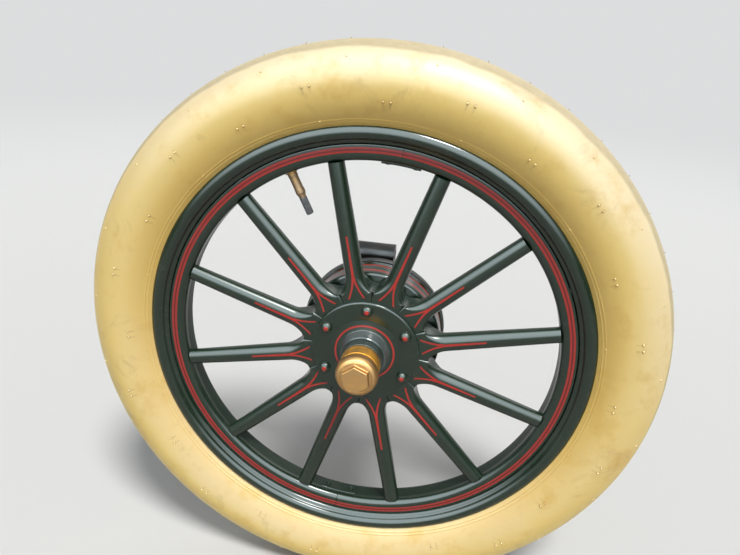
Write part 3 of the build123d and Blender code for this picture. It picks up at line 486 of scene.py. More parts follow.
class Tree:
    """The node tree of a material, or of the world, with one way of adding nodes to it."""

    def __init__(self, name, world=False):
        self.owner = (bpy.data.worlds if world else bpy.data.materials).new(name)
        self.owner.use_nodes = True
        self.nodes = self.owner.node_tree.nodes
        self.links = self.owner.node_tree.links
        self.nodes.clear()
        self.object_place = None

    def add(self, kind, settings=None, values=None, output=0):
        """A node of a kind: its settings are set first, then its sockets' values or links."""
        node = self.nodes.new(kind)
        for key, value in (settings or {}).items():
            setattr(node, key, value)
        for key, value in (values or {}).items():
            socket = self.find(node.inputs, key)
            if isinstance(value, Wire):
                self.links.new(value.socket, socket)
            elif hasattr(socket.default_value, "__len__") and len(value) < len(socket.default_value):
                socket.default_value = (*value, 1.0)
            else:
                socket.default_value = value
        return Wire(self, self.find(node.outputs, output)) if len(node.outputs) else node

    @staticmethod
    def find(sockets, key):
        """The socket at a place in the list, or with an identifier or a name."""
        if isinstance(key, int):
            return sockets[key]
        return next((socket for socket in sockets if socket.identifier == key), None) or sockets[key]

    def place(self):
        """The piece's own coordinates, which are the frame's."""
        if self.object_place is None:
            self.object_place = self.add("ShaderNodeTexCoord", output="Object")
        return self.object_place

    def split(self, vector):
        """A vector's three parts."""
        first = self.add("ShaderNodeSeparateXYZ", values={0: vector})
        return first, Wire(self, first.socket.node.outputs[1]), Wire(self, first.socket.node.outputs[2])

    def join(self, x, y, z):
        """A vector from three parts."""
        return self.add("ShaderNodeCombineXYZ", values={0: x, 1: y, 2: z})

    def wheel_place(self):
        """A point's radius, its station and its angle from the top, anticlockwise seen from outside."""
        x, y, z = self.split(self.place())
        radius = (x * x + z * z) ** 0.5
        station = WHEEL_MIDDLE - y
        angle = x.maths("ARCTAN2", -x, z)
        return radius, station, angle

    def drawn_lines(self):
        """The two values of the piece's own UV map."""
        first, second, _ = self.split(self.add("ShaderNodeUVMap", {"uv_map": "lines"}))
        return first, second

    def noise(self, scale, detail=2.0, roughness=0.5, vector=None, distortion=0.0):
        """Noise from 0 to 1, with its scale in features per metre."""
        values = {"Vector": vector or self.place(), "Scale": scale, "Detail": detail}
        values.update({"Roughness": roughness, "Distortion": distortion})
        return self.add("ShaderNodeTexNoise", None, values, "Fac")

    def waver(self, scale, width):
        """Noise spread evenly about nothing over a width, which makes a painted line uneven."""
        return (self.noise(scale) - 0.5) * width

    def fibres(self, x, y, z):
        """Noise in stretched coordinates, which draws the wood's fibres."""
        return self.noise(1.0, 3.0, 0.6, self.join(x, y, z))

    def mix(self, factor, a, b):
        """A colour from a where the factor is 0 to b where it is 1."""
        values = {"Factor_Float": factor, "A_Color": a, "B_Color": b}
        return self.add("ShaderNodeMix", {"data_type": "RGBA"}, values, "Result_Color")

    def vector_maths(self, operation, a, b=None, output=0):
        """A Vector Math node's vector or, from the output Value, its number."""
        values = {0: a} if b is None else {0: a, 1: b}
        return self.add("ShaderNodeVectorMath", {"operation": operation}, values, output)

    def bump(self, height, distance, below=None):
        """A normal from a height from 0 to 1, over a distance, on top of another bump."""
        values = {"Height": height, "Distance": distance, "Strength": 1.0}
        if below is not None:
            values["Normal"] = below
        return self.add("ShaderNodeBump", None, values)

    def finish(self, **values):
        """Ends the tree in a Principled shader with these sockets, and returns the material."""
        names = {key.replace("_", " "): value for key, value in values.items()}
        shader = self.add("ShaderNodeBsdfPrincipled", None, names)
        self.add("ShaderNodeOutputMaterial", None, {"Surface": shader})
        return self.owner

    def shown(self):
        """Two masks: what the camera sees straight, and what is mirrored or seen through glass."""
        camera = self.add("ShaderNodeLightPath", output="Is Camera Ray")
        node = camera.socket.node
        mirrored = Wire(self, node.outputs["Is Glossy Ray"]) + Wire(self, node.outputs["Is Transmission Ray"])
        return camera, mirrored.clamped()


# Finishes
#
# A pair of values is the range of radius, station or distance over which something fades in or out. Three
# values are a band's middle, half width and soft edge, unless they are a direction or a colour.

# The tyre: the direction of the painted light, which makes the rubber paler where it faces that way, the
# tread's sides and foot, how far its edge wanders, the ring of painted shade towards the rim and the painted
# shade in the fold beside the rim, and the side with the stains and the nubs' painted shadows.
PAINTED_LIGHT_SIDE = (0.22, -0.44, 0.87)
TREAD_SIDES = (21 * MM, 27 * MM)
TREAD_FOOT = (366 * MM, 369 * MM)
TREAD_WANDER = 9.0 * MM
RIM_SHADE_RING = (292 * MM, 332 * MM)
CREASE_SHADE = (286.5 * MM, 290.5 * MM)
STAIN_AND_SHADOW_SIDE = (0.0, 10 * MM)

# The vent nubs: the radii of their pairs, of the single ones near the shoulder and of those beside the rim,
# half the angle between the nubs of a pair, and the brown marks of stains and painted shadow round them and
# the drips below them.
VENT_OUTER = 338.5 * MM
VENT_INNER = 318.5 * MM
VENT_SHOULDER = 365.0 * MM
VENT_BESIDE_RIM = 297.0 * MM
VENT_HALF_GAP = math.radians(0.75)
SHADOW_AND_STAIN_RADIUS = 3.0 * MM
DRIP_WIDTH = (0.2 * MM, 1.5 * MM)
DRIP_REACH = (4.5 * MM, 3.5 * MM, 4 * MM)

# Painted shade and painted reflection in the enamel: on the felloe's inner face, behind its front corner, the
# varnish's reflection is taken off to paint shade; from the collar's foot to its end the enamel is greyed
# blue to paint a reflection, and along the edge of the hub plate to paint a highlight.
FELLOE_INSIDE = (247.0 * MM, 248.5 * MM)
FELLOE_CORNER = (11 * MM, 15 * MM)
COLLAR_FOOT = (33.5 * MM, 35 * MM)
COLLAR_END = (47.5 * MM, 49 * MM)
PLATE_EDGE = (69.6 * MM, 0.35 * MM, 0.5 * MM)

# The lining on the felloe, the hub plate, the drum and the bolt heads.
FELLOE_FACE = (22 * MM, 22.6 * MM)
FELLOE_LINES = ((258.1 * MM, 1.25 * MM, 0.35 * MM), (262.5 * MM, 1.25 * MM, 0.35 * MM))
FELLOE_DARK_LINE = (260.3 * MM, 1.4 * MM, 0.3 * MM)
PLATE_CROWN = (29 * MM, 30 * MM)
PLATE_RING = (38.0 * MM, 1.15 * MM, 0.35 * MM)
LINE_WAVER = 0.5 * MM
DRUM_SKIN = (92.5 * MM, 93.4 * MM)
DRUM_LINES = (-18.4 * MM, -21.6 * MM, -36.0 * MM, -38.8 * MM)
DRUM_LINE_HALF = 0.8 * MM
DRUM_LINE_SOFT = 0.3 * MM
DOT_EDGE = (2.7 * MM, 3.3 * MM)
DOT_WAVER = 1.6 * MM

# The lining on a spoke's front, by distance from the axle: the fork, the line's blunt end and the arms'
# ends. Then half widths, and how the arms leave the middle: by their start, their spread and the power of
# their bend. Last, how far beyond the fork the arms begin and how far they are drawn, and the soft edges
# of the lining's sides, of the blunt end, of the stem at the fork and of the arms' ends.
SPOKE_FRONT = (9 * MM, 12 * MM)
FORK_AT = 99.0 * MM
STRIPE_REACH = 156.0 * MM
ARM_END = 73.2 * MM
FORK_HALF_WIDTH = 1.8 * MM
POINT_HALF_WIDTH = 1.1 * MM
ARM_HALF_WIDTH = 1.35 * MM
ARM_NARROWING = 0.25 * MM
ARM_START = 0.9 * MM
ARM_SPREAD = 8.0 * MM
ARM_BEND = 1.55
ARM_OVERLAP = 2 * MM
ARM_DRAWN_TO = 2.5 * MM
SPOKE_LINE_SOFT = 0.35 * MM
BLUNT_END_SOFT = (-0.6 * MM, 1.2 * MM)
STEM_SOFT = 0.5 * MM
ARM_SOFT = 0.3 * MM

# How fine the wood's fibres are: features per metre across them and along a spoke, and per radian round
# the felloe.
ACROSS_FIBRES = 260.0
ALONG_SPOKE = 5.0
ROUND_FELLOE = 2.0

# The hub cap's tarnished skirt, and its narrow channel, darkened with tarnish and painted shade. Then the
# valve cap's black, and its grey on the ridges.
SKIRT_FOOT = (60.5 * MM, 64 * MM)
SKIRT_END = (74 * MM, 88 * MM)
CAP_GROOVE_SHADE = (79.8 * MM, 0.9 * MM, 1.2 * MM)
RIDGE_BLACK = (0.035, 0.034, 0.036)
RIDGE_GREY = (0.13, 0.125, 0.13)


def cream_rubber(name, tyre, stained_and_shaded=True):
    """Cream rubber: painted light on its lit side, ochre patches of age, a worn grey tread, painted shade
    towards the rim and in the fold beside it, and vent stains with painted shadows.
    """
    tree = Tree(name)
    radius, station, angle = tree.wheel_place()
    patches = tree.noise(7.0, 3.0, 0.55, distortion=0.4)
    clouds = tree.noise(19.0, 4.0, 0.6)
    specks = tree.noise(420.0, 2.0, 0.6)
    facing = tree.add("ShaderNodeTexCoord", output="Normal")
    # Painted light: the rubber turns paler where it faces the light's direction.
    towards_light = tree.vector_maths("DOT_PRODUCT", facing, PAINTED_LIGHT_SIDE, "Value")
    sunlit = (towards_light + (patches - 0.5) * 0.3).steps(0.28, 0.85)
    rubber = tree.mix(sunlit, tyre.cream, tyre.sunlit_cream)
    rubber = tree.mix(clouds.steps(0.50, 0.76) * 0.7, rubber, tyre.ochre)
    smudges = tree.noise(13.0, 5.0, 0.7, distortion=0.9)
    rubber = tree.mix(smudges.steps(0.56, 0.74) * 0.30, rubber, tyre.stain_and_shade)
    rubber = tree.mix(specks.steps(0.66, 0.80) * 0.22, rubber, tyre.ochre)
    edge = (tree.noise(24.0, 3.0) - 0.5) * TREAD_WANDER
    worn = (1.0 - abs(station + edge).steps(*TREAD_SIDES)) * radius.steps(*TREAD_FOOT)
    scuffs = tree.noise(95.0, 3.0, 0.65)
    rubber = tree.mix(worn * (0.55 + scuffs * 0.45), rubber, tyre.tread)
    # Painted shade: the sidewall darkens towards ochre as it nears the rim.
    aged_and_shade = (1.0 - radius.steps(*RIM_SHADE_RING)) * (0.25 + patches * 0.6)
    rubber = tree.mix(aged_and_shade, rubber, tyre.ochre)
    # Painted shade: the rubber darkens in the fold beside the rim.
    crease_shade = 1.0 - radius.steps(*CREASE_SHADE)
    rubber = tree.mix(crease_shade * (0.35 + clouds * 0.4), rubber, tyre.stain_and_shade)
    # Brown stains at the vents, with painted shadow round each nub.
    if stained_and_shaded:
        marks = vent_stains_and_shadows(tree, radius, angle, tyre) * station.steps(*STAIN_AND_SHADOW_SIDE)
        rubber = tree.mix(marks, rubber, tyre.stain_and_shade)
    skin = tree.noise(900.0, 2.0)
    normal = tree.bump(tree.noise(55.0, 3.0, 0.5), 0.5 * MM)
    normal = tree.bump(skin, 0.05 * MM, normal)
    rough = 0.42 + patches * 0.12 + worn * 0.2
    return tree.finish(
        Base_Color=rubber, Roughness=rough, Normal=normal, Specular_IOR_Level=0.5,
        Coat_Weight=0.3 - worn * 0.25, Coat_Roughness=0.34, Coat_IOR=1.5,
    )


def vent_stains_and_shadows(tree, radius, angle, tyre):
    """Small brown marks at the vent pairs: stains with painted shadow round each nub, and drips below.

    A point's place within the pitch of the pairs gives its distance from the nearest pair's two nubs.
    """
    pitch = 2 * math.pi / tyre.vent_pairs
    place = (angle - (tyre.first_vent - math.pi / 2)) / pitch
    number = angle.maths("ROUND", place)
    odd = abs(number.maths("MODULO", number, 2.0))
    target = VENT_OUTER - odd * (VENT_OUTER - VENT_INNER)
    around = abs(place - number) * pitch * radius - VENT_HALF_GAP * radius
    depth = target - radius
    fade = tree.noise(130.0, 2.0)
    # Painted shadow with brown staining: a round mark about each nub.
    mark = 1.0 - (around * around * 1.6 + depth * depth).steps(0.0, SHADOW_AND_STAIN_RADIUS**2)
    drip = (1.0 - abs(around).steps(*DRIP_WIDTH)) * depth.band(*DRIP_REACH)
    return (mark * 0.75 + drip * 0.5 * fade).clamped()


def enamel(name, paint, stripes=None, grain=None, dusty=0.5, coat=0.14, bare=None):
    """Green enamel under varnish: rubbed and dusty patches, brushed-on lining and a slight orange peel.

    Stripes gives two masks: the lining, and a darker line or None. Bare gives two values of painted light:
    how much of the varnish's reflection is taken off, which paints shade, and how far the enamel is greyed
    towards the rubbed colour, which paints a reflection.
    """
    tree = Tree(name)
    patches = tree.noise(14.0, 4.0, 0.6)
    dust = tree.noise(65.0, 5.0, 0.7)
    specks = tree.noise(700.0, 2.0, 0.6)
    green = tree.mix(patches.steps(0.40, 0.78) * 0.55, paint.enamel, paint.enamel_worn)
    normal = tree.bump(tree.noise(160.0, 2.0), 0.10 * MM)
    if grain:
        fibres = grain(tree)
        green = tree.mix(fibres.steps(0.45, 0.8) * 0.35, green, paint.enamel_worn)
        normal = tree.bump(fibres, 0.16 * MM, normal)
    varnish = 1.0
    # Painted light: bare takes off the varnish's reflection, which paints shade, and greys the enamel, which
    # paints a reflection.
    if bare:
        gone, rubbed = bare(tree)
        green = tree.mix(rubbed, green, paint.rubbed)
        varnish = 1.0 - gone
    if stripes:
        lining, dark = stripes(tree)
        brush = tree.noise(240.0, 3.0)
        thin_red = tuple(part * 0.72 for part in paint.stripe)
        red = tree.mix(brush.steps(0.35, 0.8) * 0.4, paint.stripe, thin_red)
        if dark is not None:
            green = tree.mix(dark, green, paint.stripe_dark)
        green = tree.mix(lining, green, red)
        normal = tree.bump(lining, 0.06 * MM, normal)
    dusting = dust.steps(0.52, 0.86) * (0.30 * dusty) + specks.steps(0.70, 0.80) * (0.30 * dusty)
    green = tree.mix(dusting, green, paint.dust)
    rough = paint.roughness + dust * 0.16
    return tree.finish(
        Base_Color=green, Roughness=rough, Normal=normal, Specular_IOR_Level=0.05,
        Coat_Weight=(0.85 - dusting * 0.7) * varnish, Coat_Roughness=coat, Coat_IOR=1.5,
    )


def felloe_painted_shade(tree):
    """Painted shade: no varnish reflection on the felloe's inner face, behind its rounded front corner, so it
    stays dark.
    """
    radius, station, _ = tree.wheel_place()
    inside = (1.0 - radius.steps(*FELLOE_INSIDE)) * (1.0 - station.steps(*FELLOE_CORNER))
    return inside * 0.8, inside * 0.03


def hub_painted_sheen(tree):
    """Painted reflection on the hub plate's collar and on the hub's barrel beyond it, and a painted highlight
    on the plate's edge.
    """
    radius, station, _ = tree.wheel_place()
    uneven = tree.noise(60.0, 4.0, 0.6).steps(0.30, 0.70)
    # Painted reflection on the collar, less on the barrel, and a painted highlight along the plate's edge.
    collar = station.steps(*COLLAR_FOOT) * (0.42 - station.steps(*COLLAR_END) * 0.30 + uneven * 0.2)
    edge = radius.band(*PLATE_EDGE) * uneven * 0.5
    worn = (collar + edge).clamped()
    return worn * 0.3, worn


def felloe_lining(tree):
    """Two red lines round the front face of the felloe, with a dark line between them."""
    radius, station, _ = tree.wheel_place()
    line = radius + tree.waver(30.0, LINE_WAVER)
    front = station.steps(*FELLOE_FACE)
    lines = line.band(*FELLOE_LINES[0]) + line.band(*FELLOE_LINES[1])
    return (lines * front).clamped() * 0.82, line.band(*FELLOE_DARK_LINE) * front


def plate_lining(tree):
    """One red ring on the crown of the hub plate."""
    radius, station, _ = tree.wheel_place()
    ring = (radius + tree.waver(35.0, LINE_WAVER)).band(*PLATE_RING)
    return ring * station.steps(*PLATE_CROWN), None


def drum_lining(tree):
    """Two pairs of red lines round the drum."""
    radius, station, _ = tree.wheel_place()
    lines = [station.band(at, DRUM_LINE_HALF, DRUM_LINE_SOFT) for at in DRUM_LINES]
    return (sum(lines[1:], lines[0]) * radius.steps(*DRUM_SKIN)).clamped(), None


def bolt_dots(tree):
    """A red dot on the top of each bolt head, from the distance kept in its UV map."""
    distance, _ = tree.drawn_lines()
    return 1.0 - (distance + tree.waver(260.0, DOT_WAVER)).steps(*DOT_EDGE), None


def spoke_lining(tree):
    """A red line that runs along the spoke's front to a blunt end, and forks into two curved arms at the hub.

    Beyond the fork its half width falls evenly to that end. Within it each arm's offset grows as a power of
    the distance from the fork.
    """
    along, across = tree.drawn_lines()
    _, station, _ = tree.wheel_place()
    front = station.steps(*SPOKE_FRONT)
    side = abs(across)
    half_soft = SPOKE_LINE_SOFT / 2
    taper = (STRIPE_REACH - along) / (STRIPE_REACH - FORK_AT)
    half = taper * (FORK_HALF_WIDTH - POINT_HALF_WIDTH) + POINT_HALF_WIDTH
    stem = (half - side).steps(-half_soft, half_soft) * along.steps(FORK_AT - STEM_SOFT, FORK_AT + STEM_SOFT)
    stem = stem * (STRIPE_REACH - along).steps(*BLUNT_END_SOFT)
    reach = ((FORK_AT + ARM_OVERLAP - along) / (FORK_AT - ARM_END)).most(0.0)
    offset = reach**ARM_BEND * ARM_SPREAD + ARM_START
    arm_half = ARM_HALF_WIDTH - reach * ARM_NARROWING
    arms = (arm_half - abs(side - offset)).steps(-half_soft, half_soft)
    arms = arms * along.steps(ARM_END - ARM_SOFT, ARM_END + ARM_SOFT)
    arms = arms * (FORK_AT + ARM_DRAWN_TO - along).steps(-ARM_SOFT, ARM_SOFT)
    return (arms.most(stem) * front).clamped(), None


def spoke_grain(tree):
    """Wood fibres that show faintly through the paint, stretched along the spoke."""
    along, across = tree.drawn_lines()
    _, station, _ = tree.wheel_place()
    return tree.fibres(along * ALONG_SPOKE, across * ACROSS_FIBRES, station * ACROSS_FIBRES)


def felloe_grain(tree):
    """Bent wood fibres that run round the felloe."""
    radius, station, angle = tree.wheel_place()
    return tree.fibres(angle * ROUND_FELLOE, radius * ACROSS_FIBRES, station * ACROSS_FIBRES)


def brass(name, bright, metal, dark=None, gloss=0.40):
    """Brass with a brown tarnish in its hollows and fine rubbing marks. Dark adds tarnish where it says, and
    on the hub cap painted shade as well.
    """
    tree = Tree(name)
    patches = tree.noise(38.0, 5.0, 0.62)
    fine = tree.noise(520.0, 3.0, 0.6)
    tarnish = patches.steps(0.46, 0.74) * 0.5
    if dark:
        tarnish = (tarnish + dark(tree)).clamped()
    warm = tree.mix(tarnish, bright, metal.tarnish)
    warm = tree.mix(fine.steps(0.60, 0.78) * 0.25, warm, metal.tarnish)
    rough = gloss + tarnish * 0.16 + fine * 0.08
    normal = tree.bump(tree.noise(180.0, 3.0), 0.06 * MM)
    normal = tree.bump(fine, 0.018 * MM, normal)
    return tree.finish(Base_Color=warm, Metallic=1.0, Roughness=rough, Normal=normal)


def cap_tarnish_and_shade(tree):
    """Brown tarnish on the hub cap's skirt, uneven round the cap, and tarnish with painted shade in its
    narrow channel.
    """
    _, station, _ = tree.wheel_place()
    uneven = tree.noise(75.0, 4.0, 0.6)
    skirt = (1.0 - station.steps(*SKIRT_END)) * station.steps(*SKIRT_FOOT)
    # Tarnish with painted shade in the cap's narrow channel.
    groove_shade = station.band(*CAP_GROOVE_SHADE)
    return (skirt * (0.35 + uneven.steps(0.36, 0.66) * 0.65) + groove_shade * 0.8).clamped()


def steel(name, metal):
    """Turned steel with old oil, and a little brown oxide where the oil has dried."""
    tree = Tree(name)
    patches = tree.noise(30.0, 5.0, 0.65)
    fine = tree.noise(600.0, 2.0)
    oxide = patches.steps(0.50, 0.70)
    grey = tree.mix(oxide * 0.8, metal.steel, metal.oxide)
    grey = tree.mix(fine.steps(0.55, 0.8) * 0.3, grey, metal.oxide)
    normal = tree.bump(fine, 0.03 * MM)
    bare = 1.0 - oxide * 0.45
    return tree.finish(Base_Color=grey, Metallic=bare, Roughness=0.30 + oxide * 0.28, Normal=normal)


def iron_paint(name, paint, metal, cast=True):
    """Black chassis paint over cast or pressed iron, with dust on its upper faces and rust in its pits."""
    tree = Tree(name)
    facing = tree.add("ShaderNodeNewGeometry", output="Normal")
    _, _, upwards = tree.split(facing)
    broad = tree.noise(22.0, 5.0, 0.65)
    fine = tree.noise(380.0 if cast else 650.0, 3.0, 0.6)
    settled = upwards.steps(0.0, 0.9) * broad.steps(0.30, 0.70)
    dust = (settled * 0.5 + broad.steps(0.55, 0.85) * 0.35).clamped()
    rust = tree.noise(48.0, 5.0, 0.7).steps(0.62, 0.78) * 0.6
    black = tree.mix(dust, paint.iron, paint.dust)
    black = tree.mix(rust, black, metal.oxide)
    normal = tree.bump(tree.noise(120.0, 3.0), (0.30 if cast else 0.08) * MM)
    normal = tree.bump(fine, (0.16 if cast else 0.03) * MM, normal)
    rough = 0.34 + dust * 0.4 + rust * 0.2
    return tree.finish(Base_Color=black, Roughness=rough, Normal=normal, Specular_IOR_Level=0.45)


def black_cap():
    """The valve's black dust cap, greyed on its ridges."""
    tree = Tree("valve_black")
    worn = tree.noise(300.0, 3.0, 0.6)
    grey = tree.mix(worn.steps(0.40, 0.75) * 0.6, RIDGE_BLACK, RIDGE_GREY)
    normal = tree.bump(worn, 0.05 * MM)
    return tree.finish(Base_Color=grey, Roughness=0.42 + worn * 0.15, Normal=normal)


# Pieces

# The rim's section: a rounded lower edge, a wall that leans outwards and is a little hollow, and the hook
# that holds the tyre. Angles are in degrees: the wall's, seen from the edge's centre, and the hook's lip's.
EDGE_RADIUS = 6.0 * MM
EDGE_STATION = 21.0 * MM
WALL_LENGTH = 7.5 * MM
WALL_HOLLOW = 0.9 * MM
HOOK_RADIUS = 10.0 * MM
WALL_ANGLE = 135.0
LIP_ANGLE = 40.0

# The tyre's section: its bead under the hook, its gap from the rim, its toe's chamfer and stations, and the
# width of a moulded ring. Then the steps along its tread and sidewall, which are fine enough for the rings.
BEAD_RADIUS = 6.6 * MM
BEAD_GAP = 0.8 * MM
TOE_CHAMFER = 0.8 * MM
TOE_STATIONS = (22.8 * MM, 21.0 * MM, 13.0 * MM)
RING_WIDTH = 0.55 * MM
TREAD_STEPS = 36
SIDEWALL_STEPS = 110

# The vent nubs' radii and how deep they are sunk, and the angle in radians by which those at the back are
# moved on.
NUB_RADIUS = 1.35 * MM
SPIKE_RADIUS = 0.55 * MM
NUB_SUNK = 0.4 * MM
SPIKE_SUNK = 0.1 * MM
BACK_NUB_TURN = 0.05

# The steps round the axle of the turned pieces, and along each half of the felloe.
TYRE_STEPS = 288
RIM_STEPS = 256
FELLOE_STEPS = 150
PLATE_STEPS = 160
HUB_STEPS = 128


def tyre_side(tyre, wheel):
    """The outboard half of the tyre's section, from its crown to its toe, as (radius, station) rows.

    A half circle makes the tread, one long arc the sidewall and a small arc the bead under the rim's hook.
    A moulded ring's height falls as a bell curve on both sides of its middle.
    """
    section = tyre.radius - tyre.half_width
    tread = arc((section, 0.0), tyre.half_width, 0.0, 90.0, TREAD_STEPS)
    hook, _ = rim_centres(wheel)
    neck = hook + BEAD_RADIUS * direction(LIP_ANGLE)
    fall = math.degrees(math.asin((section - neck[0]) / tyre.sidewall_radius))
    side_centre = np.array((section, tyre.half_width - tyre.sidewall_radius))
    sidewall = arc(side_centre, tyre.sidewall_radius, 90.0, 90.0 + fall, SIDEWALL_STEPS)
    from_ring = abs(sidewall[:, 0] - tyre.ring_radius) - tyre.ring_spacing / 2
    ring = tyre.ring_height * np.exp(-((from_ring / RING_WIDTH) ** 2))
    sidewall = sidewall + ring[:, None] * (sidewall - side_centre) / tyre.sidewall_radius
    bead = arc(hook, BEAD_RADIUS, LIP_ANGLE, WALL_ANGLE, 6)
    toe_radius = wheel.rim_seat + wheel.rim_thickness + BEAD_GAP
    toe = np.stack([toe_radius + np.array((TOE_CHAMFER, 0.0, 0.0)), TOE_STATIONS], axis=1)
    return np.concatenate([tread, sidewall[1:], bead[1:], toe])


def rim_centres(wheel):
    """The centres of the rim's hook and of its lower edge, on the outboard side.

    The wall touches the edge's arc on one side and the hook's on the other, and has its length between them.
    """
    edge = np.array((wheel.rim_seat + EDGE_RADIUS, EDGE_STATION))
    across_wall = direction(WALL_ANGLE)
    along_wall = direction(WALL_ANGLE - 90.0)
    return edge + (EDGE_RADIUS - HOOK_RADIUS) * across_wall + WALL_LENGTH * along_wall, edge


def mirrored(side):
    """A closed section from its outboard half, whose first row is on the middle plane."""
    return np.concatenate([side[:0:-1] * OTHER_SIDE, side])


def vent_places(tyre):
    """Angle, radius and length of each vent on the outboard sidewall, row by row.

    Pairs stand on two radii by turns, single nubs stand between them near the shoulder and beside the rim.
    """
    numbers = np.arange(tyre.vent_pairs) - tyre.vent_pairs // 2 - 1
    pitch = 2 * math.pi / tyre.vent_pairs
    middle = tyre.first_vent + numbers * pitch
    odd = numbers % 2 == 1
    pair_radius = np.where(odd, VENT_INNER, VENT_OUTER)
    shoulder = np.full(len(middle), VENT_SHOULDER)
    beside_rim = np.full(len(middle), VENT_BESIDE_RIM)
    size = np.full(len(middle), tyre.vent_length)
    rows = [
        (middle - VENT_HALF_GAP, pair_radius, size),
        (middle + VENT_HALF_GAP, pair_radius, size),
        (middle + pitch / 2, shoulder, size * 0.7),
        ((middle - math.radians(1.0))[~odd], beside_rim[~odd], size[~odd] * 0.6),
    ]
    return [np.concatenate(column) for column in zip(*rows)]


def tyre_skin(radius, tyre):
    """The station and the outward slope (radial, outwards) of the tyre's skin at a radius.

    The skin is a circle about the section's middle above it, and the sidewall's long arc below it.
    """
    section = tyre.radius - tyre.half_width
    drop = radius - section
    upper = drop >= 0
    bend = np.where(upper, tyre.half_width, tyre.sidewall_radius)
    rise = np.sqrt(np.maximum(bend**2 - drop**2, 0.0))
    station = np.where(upper, rise, rise + tyre.half_width - tyre.sidewall_radius)
    return station, drop / bend, rise / bend


def nubs(name, angle, radius, station, slope_out, slope_side, size, width):
    """Small round-ended nubs on the tyre, each about its own axis.

    A row's radius is the width times the square root of 1 less the cube of its share of the nub's length.
    """
    steps = np.linspace(0.0, 1.0, 5)
    shape_radius = width * np.sqrt(np.maximum(1.0 - steps**3, 0.0))
    around = circle_angles(8)
    radial, first = wheel_directions(angle)
    axis = slope_out[:, None] * radial + slope_side[:, None] * OUTWARDS
    base = radius[:, None] * radial + station[:, None] * OUTWARDS + HUB_POINT
    second = np.cross(axis, first)
    ring = np.cos(around)[None, :, None] * first[:, None] + np.sin(around)[None, :, None] * second[:, None]
    height = (size[:, None] + NUB_SUNK) * steps[None] - NUB_SUNK
    points = base[:, None, None] + height[:, :, None, None] * axis[:, None, None]
    points = points + shape_radius[None, :, None, None] * ring[:, None]
    return surface(name, points, caps=True, sharp=60)


class WHEEL_OT_tyre(bpy.types.Operator):
    """Builds the tyre with its moulded rings and vent nubs"""

    bl_idname = "wheel.tyre"
    bl_label = "Tyre"

    def execute(self, context):
        tyre = context.scene.wheel_tyre
        rubber = cream_rubber("cream_rubber", tyre)
        profile = mirrored(tyre_side(tyre, context.scene.wheel_sizes))
        skin = surface("tyre_cream", about_axle(profile, TYRE_STEPS), close_rows=True)
        seat(skin, "wheel", rubber, "tyre_rubber", "tyre")
        angle, radius, size = vent_places(tyre)
        station, slope_out, slope_side = tyre_skin(radius, tyre)
        front = nubs("front", angle, radius, station, slope_out, slope_side, size, NUB_RADIUS)
        angle = angle + BACK_NUB_TURN
        back = nubs("back", angle, radius, -station, slope_out, -slope_side, size, NUB_RADIUS)
        vents = join("tyre_vents", [front, back, self.crown_spikes(tyre)])
        seat(vents, "wheel", cream_rubber("vent_rubber", tyre, stained_and_shaded=False), "tyre_rubber")
        return {"FINISHED"}

    def crown_spikes(self, tyre):
        """Untrimmed vents round the crown, cut short where they would pass the square about the tyre."""
        angle = circle_angles(2 * tyre.vent_pairs) + tyre.first_vent
        radius = np.full(len(angle), tyre.radius - SPIKE_SUNK)
        room = tyre.radius / np.maximum(abs(np.cos(angle)), abs(np.sin(angle))) - radius
        size = np.minimum(tyre.spike_length, room)
        flat = np.zeros(len(angle))
        return nubs("crown", angle, radius, flat, flat + 1.0, flat, size, SPIKE_RADIUS)


class WHEEL_OT_rim(bpy.types.Operator):
    """Builds the rolled rim with its hooked edges"""

    bl_idname = "wheel.rim"
    bl_label = "Rim"

    def execute(self, context):
        wheel = context.scene.wheel_sizes
        points = about_axle(self.section(wheel), RIM_STEPS)
        rim = surface("rim_enamel", points, close_rows=True)
        seat(rim, "wheel", enamel("rim_green", context.scene.wheel_paint, dusty=0.8), "green_enamel", "rim")
        return {"FINISHED"}

    def section(self, wheel):
        """The rim's closed section: arcs round the edge, the hook and its lip, outside and then inside.

        The wall between the outer arcs is hollowed by the square of a half sine wave.
        """
        hook, edge = rim_centres(wheel)
        thick = wheel.rim_thickness
        lip = hook + (HOOK_RADIUS - thick / 2) * direction(LIP_ANGLE)
        outer_edge = arc(edge, EDGE_RADIUS, 180.0, WALL_ANGLE, 6)
        outer_hook = arc(hook, HOOK_RADIUS, WALL_ANGLE, LIP_ANGLE, 18)
        steps = np.linspace(0.0, 1.0, 11)[1:-1, None]
        wall = outer_edge[-1] + steps * (outer_hook[0] - outer_edge[-1])
        wall += np.sin(math.pi * steps) ** 2 * WALL_HOLLOW * direction(WALL_ANGLE - 180.0)
        round_lip = arc(lip, thick / 2, LIP_ANGLE, LIP_ANGLE - 180.0, 6)[1:-1]
        inner_hook = arc(hook, HOOK_RADIUS - thick, LIP_ANGLE, WALL_ANGLE, 14)
        inner_edge = arc(edge, EDGE_RADIUS - thick, WALL_ANGLE, 180.0, 5)
        side = np.concatenate([outer_edge, wall, outer_hook, round_lip, inner_hook, inner_edge])
        return np.concatenate([side, side[::-1] * OTHER_SIDE])


# The felloe's fillets and clearances, and the steel plates over its joints. A value without MM is in
# millimetres.
FELLOE_BACK_FILLET = 10
FELLOE_FRONT_FILLET = 8
FELLOE_SEAT_FILLET = 1.2
FELLOE_CLEARANCE = 0.2
JOINT_HALF_GAP = 0.3 * MM
JOINT_PLATE_BACK = -2.4
JOINT_PLATE_FRONT = 15.6
JOINT_PLATE_THICKNESS = 2.4
JOINT_PLATE_FILLET = 0.8
JOINT_PLATE_REACH = 24.0 * MM
RIVET_REACH = 17.0 * MM
# A rivet's head with its ring. Columns: radius, height above the plate and fillet.
RIVET_OUTLINE = ((0, 0.9, 0), (1.7, 0.9, 0.5), (2.4, 2.1, 0.5), (3.3, 2.1, 0.8), (4, -1, 0))


